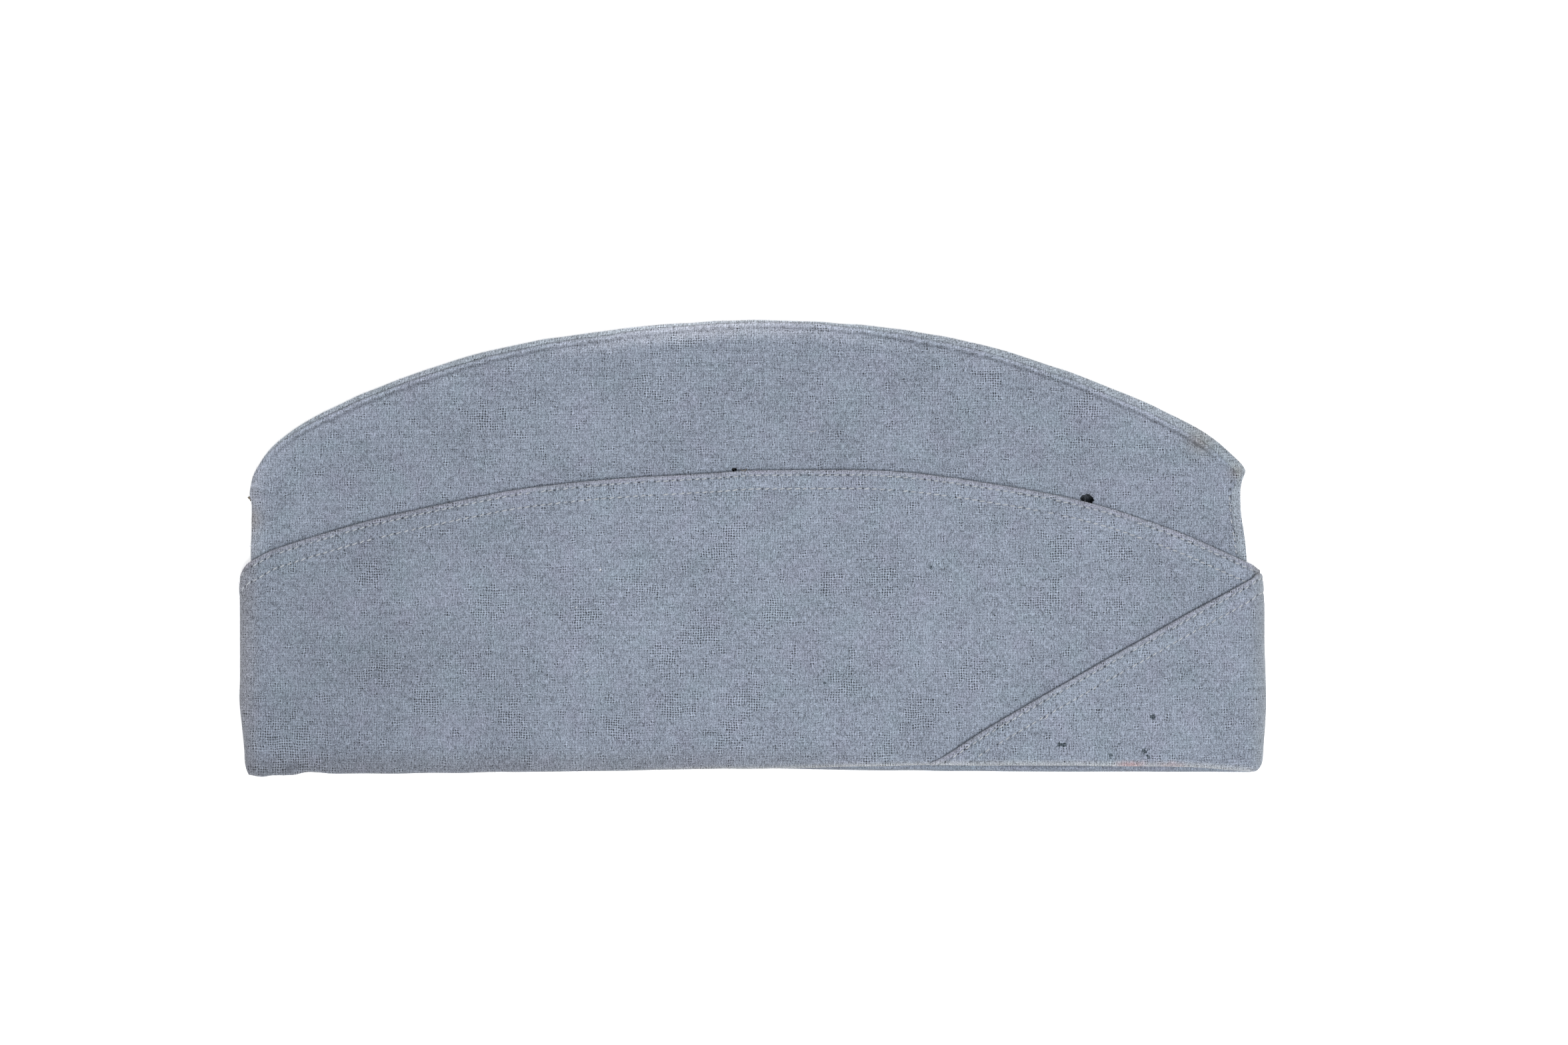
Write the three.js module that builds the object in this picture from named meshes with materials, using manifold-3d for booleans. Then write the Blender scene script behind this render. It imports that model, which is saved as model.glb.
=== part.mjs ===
// A side cap of fulled wool, lying flat on its left side with its front to +X and its mouth to -Y.
// The crown is two sides sewn together round the back, the ridge and the front, and open at the mouth.
// The curtain is a band turned up round the crown, in two pieces that meet at the middle of the back.
// Its right piece lies on top. Its left piece lies underneath, wraps the front and overlaps the right
// piece in a slanting end. Millimetres, +Z up. The origin is on the surface that the cap lies on,
// under the middle of its outline.

import * as THREE from "three";
import { mergeVertices } from "three/addons/utils/BufferGeometryUtils.js";
import Module from "manifold-3d";

// Driving sizes
const CAP = { length: 288, height: 128 }; // over the curtain's two folds, and from mouth to ridge
const CLOTH = { crown: 1.2, curtain: 1.6, gap: 0.3 }; // wall thicknesses, and the air between plies
const HOLLOW = { depth: 8, reach: 64 }; // the air inside at its deepest, and how far in from the seam
const WELT = { width: 2.2, rise: 0.35, ease: 0.4, round: 0.9, fade: 8 }; // the crown's raised seam
const HEM = { width: 5.6, rise: 0.5, ease: 0.6, round: 0.4 }; // the curtain's doubled upper edge
const SETTLE = { reach: 20, clear: 0.6 }; // the left side sinks past the curtain to this clearance
const CROWN_BACK = -140.6; // X of the crown's upright back edge
const CROWN_FRONT = { foot: 138.6, bow: 1.3 }; // X of its front edge at the mouth, and how far it bows in
const RIGHT_PIECE = { end: 139.4, pressed: 5 }; // where it ends under the overlap, its hem pressed flat
const FOLD_CORNER = 3.2; // how far the curtain's lower edge lifts where it turns round an end

// The curtain's lower edge folds in under the crown's edge by a depth, and stands up to a height there.
const CROWN_FOOT = { depth: CLOTH.crown + CLOTH.gap, height: 2.6 };
const OVERLAP_FOOT = { depth: CLOTH.gap / 3, height: 1 };

// Rows run from the back to the front. along is X from mid-length, and up is the height over the mouth.
const RIDGE = [
  { along: CROWN_BACK, up: 76 },
  { along: -139.4, up: 85.5 },
  { along: -133.5, up: 93.4 },
  { along: -118, up: 103.3 },
  { along: -80, up: 117.8 },
  { along: -42.8, up: 124.9 },
  { along: 4, up: CAP.height },
  { along: 51, up: 124 },
  { along: 88.5, up: 113.7 },
  { along: 126, up: 97.2 },
  { along: 138.2, up: 86.7 },
];
const CURTAIN_TOP = [
  { along: -144, up: 58.6 },
  { along: -140, up: 60.8 },
  { along: -132.8, up: 64.4 },
  { along: -95, up: 75.2 },
  { along: -50, up: 82.9 },
  { along: 20, up: 86.5 },
  { along: 62, up: 83.3 },
  { along: 107, up: 73.3 },
  { along: 144, up: 58 },
];
const OVERLAP_EDGE = [
  { along: 53.5, up: 6.6 },
  { along: 65, up: 14 },
  { along: 91, up: 29 },
  { along: 118, up: 44 },
  { along: 139.4, up: 56.5 },
  { along: 144, up: 58 },
];
const RIGHT_MOUTH = [
  { along: -144, up: 0 },
  { along: -100, up: 1.3 },
  { along: 0, up: 2.8 },
  { along: 50, up: 3.8 },
  { along: 115, up: 3.4 },
  { along: 144, up: 1.4 },
];
const LEFT_MOUTH = [
  { along: -144, up: 0.6 },
  { along: 0, up: 2.2 },
  { along: 60, up: 1.5 },
  { along: 144, up: 1.2 },
];

// A worn hole through the right side, just above the curtain: corner distances from its middle
const HOLE = { along: 93.4, up: 78.2, corners: [1.8, 1.3, 1.4, 1.2, 1.5, 1.9, 1.2, 1.1, 1.6] };

// How finely the cloth is faceted
const CROWN_COLUMNS = 36;
const WELT_ROWS = [0, 0.6, WELT.width - WELT.ease, WELT.width + WELT.ease]; // distances in from the ridge
const PANEL_ROWS = [0.07, 0.18, 0.33, 0.5, 0.72, 1]; // shares of the way from there to the mouth
const BAND_STATIONS = 30;
const BAND_ROWS = [0, 0.25, 0.5, 0.75, 1]; // shares of the curtain's leg
const OVERLAP_STATIONS = 12;
const TURN_STEPS = 5; // facets in a quarter turn round an end
const FOOT_STEPS = 6; // facets round the curtain's folded foot
const MERGE = 1e-4; // points closer than this are one

const { lerp, clamp, smoothstep } = THREE.MathUtils;
const yOf = (up) => up - CAP.height / 2;
const evenly = (from, to, count) => Array.from({ length: count + 1 }, (_, i) => lerp(from, to, i / count));

// Y of a table's edge at an X: a smooth cubic through its rows, held level past its ends
function edgeAt(rows, x) {
  const last = rows.length - 1;
  const slope = (i) => {
    const [before, after] = [rows[Math.max(i - 1, 0)], rows[Math.min(i + 1, last)]];
    return (after.up - before.up) / (after.along - before.along);
  };
  const at = clamp(x, rows[0].along, rows[last].along);
  const next = rows.findIndex(({ along }, i) => i > 0 && along >= at);
  const [from, to] = [rows[next - 1], rows[next]];
  const span = to.along - from.along;
  const t = (at - from.along) / span;
  const leaving = (1 - t) ** 2 * ((1 + 2 * t) * from.up + t * span * slope(next - 1));
  const arriving = t ** 2 * ((3 - 2 * t) * to.up - (1 - t) * span * slope(next));
  return yOf(leaving + arriving);
}

const curtainTop = (x) => edgeAt(CURTAIN_TOP, x);

// The crown's sewn outline, from the mouth at the back over the ridge to the mouth at the front
const ridge = new THREE.CatmullRomCurve3(
  RIDGE.map(({ along, up }) => new THREE.Vector3(along, yOf(up), 0)),
  false,
  "centripetal",
);
const ridgeFront = RIDGE.at(-1);

function crownFront(y) {
  const share = clamp((y - yOf(0)) / ridgeFront.up, 0, 1);
  return lerp(CROWN_FRONT.foot, ridgeFront.along, share) - CROWN_FRONT.bow * Math.sin(Math.PI * share);
}

const seam = [
  new THREE.Vector3(CROWN_BACK, yOf(0), 0),
  ...ridge.getSpacedPoints(4 * CROWN_COLUMNS),
  ...evenly(yOf(ridgeFront.up), yOf(0), 8).map((y) => new THREE.Vector3(crownFront(y), y, 0)),
];

function distanceToSeam(x, y) {
  const point = new THREE.Vector3(x, y, 0);
  const nearest = new THREE.Vector3();
  let best = Infinity;
  for (let i = 1; i < seam.length; i += 1) {
    new THREE.Line3(seam[i - 1], seam[i]).closestPointToPoint(point, true, nearest);
    best = Math.min(best, nearest.distanceTo(point));
  }
  return best;
}

// The air between the two sides: it swells smoothly away from the back, the front and the ridge
function hollowAt(x, y) {
  const swell = (distance) => Math.sin((clamp(distance / HOLLOW.reach, 0, 1) * Math.PI) / 2);
  const share = swell(x - CROWN_BACK) * swell(crownFront(y) - x) * swell(edgeAt(RIDGE, x) - y);
  return CLOTH.gap + (HOLLOW.depth - CLOTH.gap) * share;
}

// Heights of the crown's plain outer faces over the surface that the cap lies on
function leftUnderside(x, y) {
  const past = y - curtainTop(x);
  return lerp(CLOTH.curtain + CLOTH.gap, SETTLE.clear, smoothstep(past, 0, SETTLE.reach));
}

const rightTop = (x, y) => leftUnderside(x, y) + 2 * CLOTH.crown + hollowAt(x, y);

// How far the crown's outer face stands proud of its plain face: the seam's welt, which has a rounded
// edge and dies away where the curtain covers it
function proudAt(x, y) {
  const distance = distanceToSeam(x, y);
  const bare = smoothstep(y - curtainTop(x), 0, WELT.fade);
  const welt = WELT.rise * (1 - smoothstep(distance, WELT.width - WELT.ease, WELT.width + WELT.ease));
  const inward = 1 - Math.min(distance / WELT.round, 1);
  return welt * bare - WELT.round * (1 - Math.sqrt(1 - inward ** 2));
}

function closedGeometry(points, triangles) {
  const geometry = new THREE.BufferGeometry().setFromPoints(points);
  geometry.setIndex(triangles);
  return mergeVertices(geometry, MERGE);
}

// A closed slab between two grids of points, where i runs along +X and j along +Y
function slab(upper, lower) {
  const [columns, rows] = [upper.length, upper[0].length];
  const [lastColumn, lastRow] = [columns - 1, rows - 1];
  const top = (i, j) => i * rows + j;
  const under = (i, j) => columns * rows + top(i, j);
  const triangles = [];
  const quad = (a, b, c, d) => triangles.push(a, b, c, a, c, d);
  for (let i = 0; i < lastColumn; i += 1) {
    for (let j = 0; j < lastRow; j += 1) {
      quad(top(i, j), top(i + 1, j), top(i + 1, j + 1), top(i, j + 1));
      quad(under(i, j), under(i, j + 1), under(i + 1, j + 1), under(i + 1, j));
    }
    quad(under(i, 0), under(i + 1, 0), top(i + 1, 0), top(i, 0));
    quad(under(i + 1, lastRow), under(i, lastRow), top(i, lastRow), top(i + 1, lastRow));
  }
  for (let j = 0; j < lastRow; j += 1) {
    quad(under(lastColumn, j), under(lastColumn, j + 1), top(lastColumn, j + 1), top(lastColumn, j));
    quad(under(0, j + 1), under(0, j), top(0, j), top(0, j + 1));
  }
  return closedGeometry([...upper.flat(), ...lower.flat()], triangles);
}

// The crown's plan as columns from the mouth up to the ridge, closer together near the ends
function crownPlan(mouth) {
  return evenly(0, Math.PI, CROWN_COLUMNS).map((turn) => {
    const head = ridge.getPointAt((1 - Math.cos(turn)) / 2);
    const across = (head.x - CROWN_BACK) / (ridgeFront.along - CROWN_BACK);
    const footX = lerp(CROWN_BACK, CROWN_FRONT.foot, across);
    const height = head.y - edgeAt(mouth, footX) - CROWN_FOOT.height - CLOTH.gap;
    const drops = [...WELT_ROWS, ...PANEL_ROWS.map((share) => lerp(WELT_ROWS.at(-1), height, share))];
    return drops.reverse().map((drop) => {
      const rise = 1 - drop / height;
      const bow = CROWN_FRONT.bow * across * Math.sin(Math.PI * rise);
      return { x: lerp(footX, head.x, rise) - bow, y: head.y - drop };
    });
  });
}

function crownSide(mouth, upperHeight, lowerHeight) {
  const plan = crownPlan(mouth);
  const grid = (height) =>
    plan.map((column) => column.map(({ x, y }) => new THREE.Vector3(x, y, height(x, y))));
  return slab(grid(upperHeight), grid(lowerHeight));
}

function crownRightSide() {
  const upper = (x, y) => rightTop(x, y) + proudAt(x, y);
  const lower = (x, y) => rightTop(x, y) - CLOTH.crown;
  return cutThrough(crownSide(RIGHT_MOUTH, upper, lower), holeCutter());
}

function crownLeftSide() {
  const upper = (x, y) => leftUnderside(x, y) + CLOTH.crown;
  const lower = (x, y) => leftUnderside(x, y) - proudAt(x, y);
  return crownSide(LEFT_MOUTH, upper, lower);
}

// The worn hole, as a ragged column that passes through the right side
function holeCutter() {
  const { along, up, corners } = HOLE;
  const outline = corners.map((reach, i) => {
    const turn = (i / corners.length) * 2 * Math.PI;
    return new THREE.Vector2(along + reach * Math.cos(turn), yOf(up) + reach * Math.sin(turn));
  });
  const depth = 2 * HOLLOW.depth;
  return new THREE.ExtrudeGeometry(new THREE.Shape(outline), { depth, bevelEnabled: false });
}

const wasm = await Module();
wasm.setup();

function toSolid(geometry) {
  const bare = geometry.clone();
  bare.deleteAttribute("normal");
  bare.deleteAttribute("uv");
  const merged = mergeVertices(bare, MERGE);
  const vertProperties = merged.attributes.position.array;
  const triVerts = new Uint32Array(merged.index.array);
  return new wasm.Manifold(new wasm.Mesh({ numProp: 3, vertProperties, triVerts }));
}

function cutThrough(geometry, cutter) {
  const mesh = toSolid(geometry).subtract(toSolid(cutter)).getMesh();
  return new THREE.BufferGeometry()
    .setAttribute("position", new THREE.BufferAttribute(mesh.vertProperties, 3))
    .setIndex(new THREE.BufferAttribute(mesh.triVerts, 1));
}

// One station of the curtain. Its section has a foot, a leg and a doubled hem, with out measured from
// its inner face away from the crown, and place puts a point of the section where the station is.
function bandStation(place, { bottom, top, foot, hemRise }) {
  const radius = (CLOTH.curtain + foot.depth) / 2;
  const hemFrom = top - Math.min(HEM.width, (top - bottom) / 3);
  const leg = BAND_ROWS.map((share) => lerp(bottom + foot.height, hemFrom, share));
  const outer = CLOTH.curtain + hemRise;
  const section = [
    ...evenly(Math.PI, 2 * Math.PI, FOOT_STEPS).map((turn) => ({
      out: CLOTH.curtain - radius + radius * Math.cos(turn),
      y: bottom + radius * (1 + Math.sin(turn)),
    })),
    ...leg.map((y) => ({ out: CLOTH.curtain, y })),
    { out: outer, y: Math.min(hemFrom + HEM.ease, top - 2 * HEM.round) },
    { out: outer, y: top - HEM.round },
    { out: outer - HEM.round, y: top },
    { out: HEM.round / 2, y: top },
    ...leg.toReversed().map((y) => ({ out: 0, y })),
    { out: -foot.depth, y: bottom + foot.height },
  ];
  return { section, ring: section.map(({ out, y }) => place(out, y)) };
}

// A closed band through its stations
function sweptBand(stations) {
  const size = stations[0].ring.length;
  const lastRing = (stations.length - 1) * size;
  const triangles = [];
  for (let start = 0; start < lastRing; start += size) {
    for (let p = 0; p < size; p += 1) {
      const [a, b] = [start + p, start + ((p + 1) % size)];
      triangles.push(a, b, b + size, a, b + size, a + size);
    }
  }
  const endFaces = ({ section }) => {
    const outline = section.map(({ out, y }) => new THREE.Vector2(out, y));
    return THREE.ShapeUtils.triangulateShape(outline, []);
  };
  endFaces(stations[0]).forEach(([a, b, c]) => triangles.push(c, b, a));
  endFaces(stations.at(-1)).forEach((face) => triangles.push(...face.map((p) => p + lastRing)));
  return closedGeometry(
    stations.flatMap(({ ring }) => ring),
    triangles,
  );
}

// The curtain turns round the cap's two ends. An angle of 0 is on top of the cap, and PI is under it.
function endTurn(edgeX, direction, innerTop) {
  const radius = (innerTop - CLOTH.curtain) / 2;
  const middleX = edgeX - direction * (radius + CLOTH.curtain);
  const middleZ = CLOTH.curtain + radius;
  const place = (angle) => (out, y) => {
    const reach = radius + out;
    const x = middleX + direction * reach * Math.sin(angle);
    return new THREE.Vector3(x, y, middleZ + reach * Math.cos(angle));
  };
  const outerX = (angle) => place(angle)(CLOTH.curtain, 0).x;
  const cornerLift = (angle) => FOLD_CORNER * Math.sin(angle) ** 4;
  const halfSeam = CLOTH.gap / 2 / (radius + CLOTH.curtain);
  return { middleX, place, outerX, cornerLift, halfSeam };
}

const rightPieceLift = CLOTH.gap;
const overlapLift = rightPieceLift + CLOTH.curtain + CLOTH.gap;
const endTop = rightTop(CROWN_BACK, yOf(0));
const backTurn = endTurn(-CAP.length / 2, -1, endTop + rightPieceLift);
const frontTurn = endTurn(CAP.length / 2, 1, endTop + overlapLift);

const placeOnTop = (x, lift) => (out, y) => new THREE.Vector3(x, y, rightTop(x, y) + lift + out);
const placeUnder = (x) => (out, y) => new THREE.Vector3(x, y, CLOTH.curtain - out);

// The right piece, from its end under the overlap to the middle of the back
function curtainRightPiece() {
  const flat = evenly(RIGHT_PIECE.end, backTurn.middleX, BAND_STATIONS).map((x) => {
    const pressedFrom = RIGHT_PIECE.end - RIGHT_PIECE.pressed;
    const pressed = smoothstep(x, pressedFrom - RIGHT_PIECE.pressed, pressedFrom);
    return bandStation(placeOnTop(x, rightPieceLift), {
      bottom: edgeAt(RIGHT_MOUTH, x),
      top: curtainTop(x),
      foot: CROWN_FOOT,
      hemRise: HEM.rise * (1 - pressed),
    });
  });
  const backEnd = evenly(0, Math.PI / 2 - backTurn.halfSeam, TURN_STEPS).map((angle) => {
    const x = backTurn.outerX(angle);
    return bandStation(backTurn.place(angle), {
      bottom: edgeAt(RIGHT_MOUTH, x) + backTurn.cornerLift(angle),
      top: curtainTop(x),
      foot: CROWN_FOOT,
      hemRise: HEM.rise * Math.cos(angle),
    });
  });
  return sweptBand([...flat, ...backEnd.slice(1)]);
}

// The left piece, from the middle of the back, under the cap and round the front to the overlap's tip
function curtainLeftPiece() {
  const backEnd = evenly(Math.PI / 2 + backTurn.halfSeam, Math.PI, TURN_STEPS).map((angle) => {
    const x = backTurn.outerX(angle);
    return bandStation(backTurn.place(angle), {
      bottom: edgeAt(LEFT_MOUTH, x) + backTurn.cornerLift(angle),
      top: curtainTop(x),
      foot: CROWN_FOOT,
      hemRise: 0,
    });
  });
  const under = evenly(backTurn.middleX, frontTurn.middleX, BAND_STATIONS).map((x) =>
    bandStation(placeUnder(x), {
      bottom: edgeAt(LEFT_MOUTH, x),
      top: curtainTop(x),
      foot: CROWN_FOOT,
      hemRise: 0,
    }),
  );
  const frontEnd = evenly(0, 1, 2 * TURN_STEPS).map((risen) => {
    const angle = Math.PI * (1 - risen);
    const x = frontTurn.outerX(angle);
    const lower = lerp(edgeAt(LEFT_MOUTH, x), edgeAt(RIGHT_MOUTH, x), risen);
    const bare = smoothstep(risen, 0, 0.5);
    return bandStation(frontTurn.place(angle), {
      bottom: lower + frontTurn.cornerLift(angle),
      top: lerp(curtainTop(x), edgeAt(OVERLAP_EDGE, x), risen),
      foot: {
        depth: lerp(CROWN_FOOT.depth, OVERLAP_FOOT.depth, bare),
        height: lerp(CROWN_FOOT.height, OVERLAP_FOOT.height, bare),
      },
      hemRise: HEM.rise * smoothstep(risen, 0.6, 1),
    });
  });
  const overlap = evenly(frontTurn.middleX, OVERLAP_EDGE[0].along, OVERLAP_STATIONS).map((x) =>
    bandStation(placeOnTop(x, overlapLift), {
      bottom: edgeAt(RIGHT_MOUTH, x),
      top: edgeAt(OVERLAP_EDGE, x),
      foot: OVERLAP_FOOT,
      hemRise: HEM.rise,
    }),
  );
  return sweptBand([...backEnd, ...under.slice(1), ...frontEnd.slice(1, -1), ...overlap]);
}

const fulledWool = (color) => new THREE.MeshStandardMaterial({ color, roughness: 0.95, metalness: 0 });

const PIECES = [
  { name: "crown_left_side", geometry: crownLeftSide(), material: fulledWool(0x8d96a5) },
  { name: "crown_right_side", geometry: crownRightSide(), material: fulledWool(0x8e97a6) },
  { name: "curtain_left_piece", geometry: curtainLeftPiece(), material: fulledWool(0x929ba9) },
  { name: "curtain_right_piece", geometry: curtainRightPiece(), material: fulledWool(0x8c94a4) },
];

const cap = new THREE.Group();
for (const { name, geometry, material } of PIECES) {
  const piece = new THREE.Mesh(geometry, material);
  piece.name = name;
  cap.add(piece);
}

export default cap;
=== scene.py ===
"""A side cap of fulled grey wool, lying flat on its left side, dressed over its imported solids.

Shapes are worked out in millimetres in the part's own frame: front to +X, mouth to -Y and +Z up. Meshes
are made in metres. The crown is two panels sewn together round the back, the ridge and the front. The
curtain is two bands turned up round the crown. Its left piece wraps the front and laps over its right
piece in a slanting end.
"""

import logging
import math
from collections.abc import Sequence
from dataclasses import dataclass
from enum import Enum

import bpy
import numpy as np
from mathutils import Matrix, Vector, kdtree


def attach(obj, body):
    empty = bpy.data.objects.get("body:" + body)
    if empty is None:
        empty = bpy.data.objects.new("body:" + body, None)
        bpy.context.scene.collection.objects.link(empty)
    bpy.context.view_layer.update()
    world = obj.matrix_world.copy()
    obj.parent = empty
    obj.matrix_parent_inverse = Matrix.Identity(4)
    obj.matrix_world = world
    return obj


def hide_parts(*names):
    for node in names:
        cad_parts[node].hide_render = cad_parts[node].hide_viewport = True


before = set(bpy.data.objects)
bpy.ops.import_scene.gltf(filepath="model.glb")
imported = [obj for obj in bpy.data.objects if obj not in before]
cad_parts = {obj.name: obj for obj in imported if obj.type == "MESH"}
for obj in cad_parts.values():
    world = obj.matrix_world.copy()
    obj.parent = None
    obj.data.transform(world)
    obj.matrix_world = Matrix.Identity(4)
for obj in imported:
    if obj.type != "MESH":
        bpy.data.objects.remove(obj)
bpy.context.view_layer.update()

Array = np.ndarray
Numbers = np.ndarray | float
Socket = bpy.types.NodeSocket
Piece = bpy.types.Object
Span = tuple[float, float]
Triple = tuple[float, float, float]
Colour = tuple[float, float, float, float]
MM = 0.001
BAKE_MAP = "OFBake"
STEEP = 0.8

log = logging.getLogger("side_cap")


def mix(start: Numbers, end: Numbers, share: Numbers) -> Numbers:
    """The value a share of the way from start to end."""
    return start + (end - start) * share


def ease(value: Numbers, low: float = 0.0, high: float = 1.0) -> Numbers:
    """A smooth step from 0 at low to 1 at high."""
    share = np.clip((np.asarray(value, dtype=float) - low) / (high - low), 0.0, 1.0)
    return share * share * (3.0 - 2.0 * share)


def bell(value: Numbers, middle: float, width: float) -> Numbers:
    """A smooth bump of height 1 at middle, with the given width to each side."""
    return np.exp(-(((np.asarray(value, dtype=float) - middle) / width) ** 2))


def unit(vectors: Array) -> Array:
    """Vectors scaled to a length of 1 along their last axis."""
    return vectors / np.maximum(np.linalg.norm(vectors, axis=-1, keepdims=True), 1e-9)


def run_length(points: Array) -> Array:
    """The distance along a line of points, from 0 at its first point."""
    steps = np.linalg.norm(np.diff(points, axis=0), axis=1)
    return np.concatenate([[0.0], np.cumsum(steps)])


def resample(points: Array, distances: Array) -> Array:
    """Points at given distances along a line of points.

    Args:
        points: An array of N points.
        distances: Where along the line the new points lie.

    Returns:
        One point for each distance.
    """
    runs = run_length(points)
    columns = [np.interp(distances, runs, points[:, axis]) for axis in range(points.shape[1])]
    return np.stack(columns, axis=1)


class SoftNoise:
    """Smooth seeded noise over a plane, from random values on a square lattice."""

    def __init__(self, seed: int, cell: float, size: int = 64) -> None:
        """Draw the lattice, with its cells' size in millimetres and how many it has before it repeats."""
        self.cell = cell
        self.values = np.random.default_rng(seed).uniform(-1.0, 1.0, (size, size))

    def at(self, x: Array, y: Numbers = 0.0) -> Array:
        """The noise at points of the plane.

        Args:
            x: X of the points.
            y: Y of the points.

        Returns:
            Values between -1 and 1.
        """
        x, y = np.broadcast_arrays(np.asarray(x, dtype=float), np.asarray(y, dtype=float))
        column, row = np.floor(x / self.cell), np.floor(y / self.cell)
        across, up = ease(x / self.cell - column), ease(y / self.cell - row)
        i, j = column.astype(int), row.astype(int)
        lower = mix(self.corner(i, j), self.corner(i + 1, j), across)
        upper = mix(self.corner(i, j + 1), self.corner(i + 1, j + 1), across)
        return mix(lower, upper, up)

    def corner(self, i: Array, j: Array) -> Array:
        """The lattice's values at its corners, which repeat past its edge."""
        size = len(self.values)
        return self.values[i % size, j % size]


@dataclass(frozen=True)
class EdgeTable:
    """A smooth edge through rows of (along, up), where up is the height over the mouth."""

    rows: tuple[Span, ...]
    base: float = -64.0

    def at(self, x: Numbers) -> Array:
        """Y of the edge, held level past the table's ends.

        Args:
            x: X of the points.

        Returns:
            Y of the edge there.
        """
        along, up = np.array(self.rows).T
        last = len(along) - 1
        before = np.maximum(np.arange(last + 1) - 1, 0)
        after = np.minimum(np.arange(last + 1) + 1, last)
        slopes = (up[after] - up[before]) / (along[after] - along[before])
        held = np.clip(x, along[0], along[-1])
        end = np.clip(np.searchsorted(along, held), 1, last)
        start = end - 1
        span = along[end] - along[start]
        t = (held - along[start]) / span
        leaving = (1 - t) ** 2 * ((1 + 2 * t) * up[start] + t * span * slopes[start])
        arriving = t**2 * ((3 - 2 * t) * up[end] - (1 - t) * span * slopes[end])
        return self.base + leaving + arriving

    def lean(self, x: Numbers, step: float = 0.5) -> Array:
        """The cosine of the edge's slope, which turns a drop along Y into a distance from the edge."""
        rise = (self.at(x + step) - self.at(x - step)) / (2 * step)
        return 1.0 / np.sqrt(1.0 + rise**2)


RIDGE = EdgeTable(
    (
        (-141.1, 79.9), (-139.7, 85.2), (-133.5, 93.4), (-118.0, 103.3), (-80.0, 117.8), (-42.8, 124.9),
        (4.0, 128.0), (51.0, 124.0), (88.5, 113.7), (126.0, 97.2), (133.5, 91.3), (137.6, 87.6),
        (138.8, 85.7),
    )
)
CURTAIN_TOP = EdgeTable(
    (
        (-144.0, 58.5), (-140.0, 60.6), (-132.8, 64.0), (-95.0, 74.55), (-50.0, 82.25), (20.0, 86.05),
        (62.0, 83.0), (107.0, 73.0), (144.0, 58.0),
    )
)
FRONT_EDGE = EdgeTable(
    (
        (0.0, 138.6), (40.0, 138.8), (61.2, 138.6), (69.1, 137.9), (75.4, 137.0), (80.1, 137.0),
        (82.4, 137.4), (84.2, 138.0), (85.7, 138.8),
    ),
    base=0.0,
)
OVERLAP_EDGE = EdgeTable(
    ((49.4, 4.4), (53.5, 6.6), (65.0, 14.0), (91.0, 29.0), (118.0, 44.0), (139.4, 55.4), (144.0, 57.4))
)
RIGHT_MOUTH = EdgeTable(
    (
        (-144.0, 1.4), (-140.3, 0.6), (-137.0, 0.15), (-134.0, 0.6), (-128.0, 0.7), (-124.2, 1.5),
        (-121.0, 1.45), (-117.0, 1.15), (-111.0, 1.2), (-85.0, 1.6), (0.0, 2.8), (50.0, 3.8),
        (115.0, 3.4), (144.0, 1.4),
    )
)
LEFT_MOUTH = EdgeTable(((-144.0, 1.8), (-124.0, 2.5), (-60.0, 2.5), (0.0, 2.2), (60.0, 1.5), (144.0, 1.2)))


@dataclass(frozen=True)
class Lean:
    """How far a fold leans in, growing from one height to another."""

    amount: float
    start: float
    end: float

    def at(self, y: Array) -> Array:
        """How far the fold leans in at a height."""
        return self.amount * ease(y, self.start, self.end)


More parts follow.
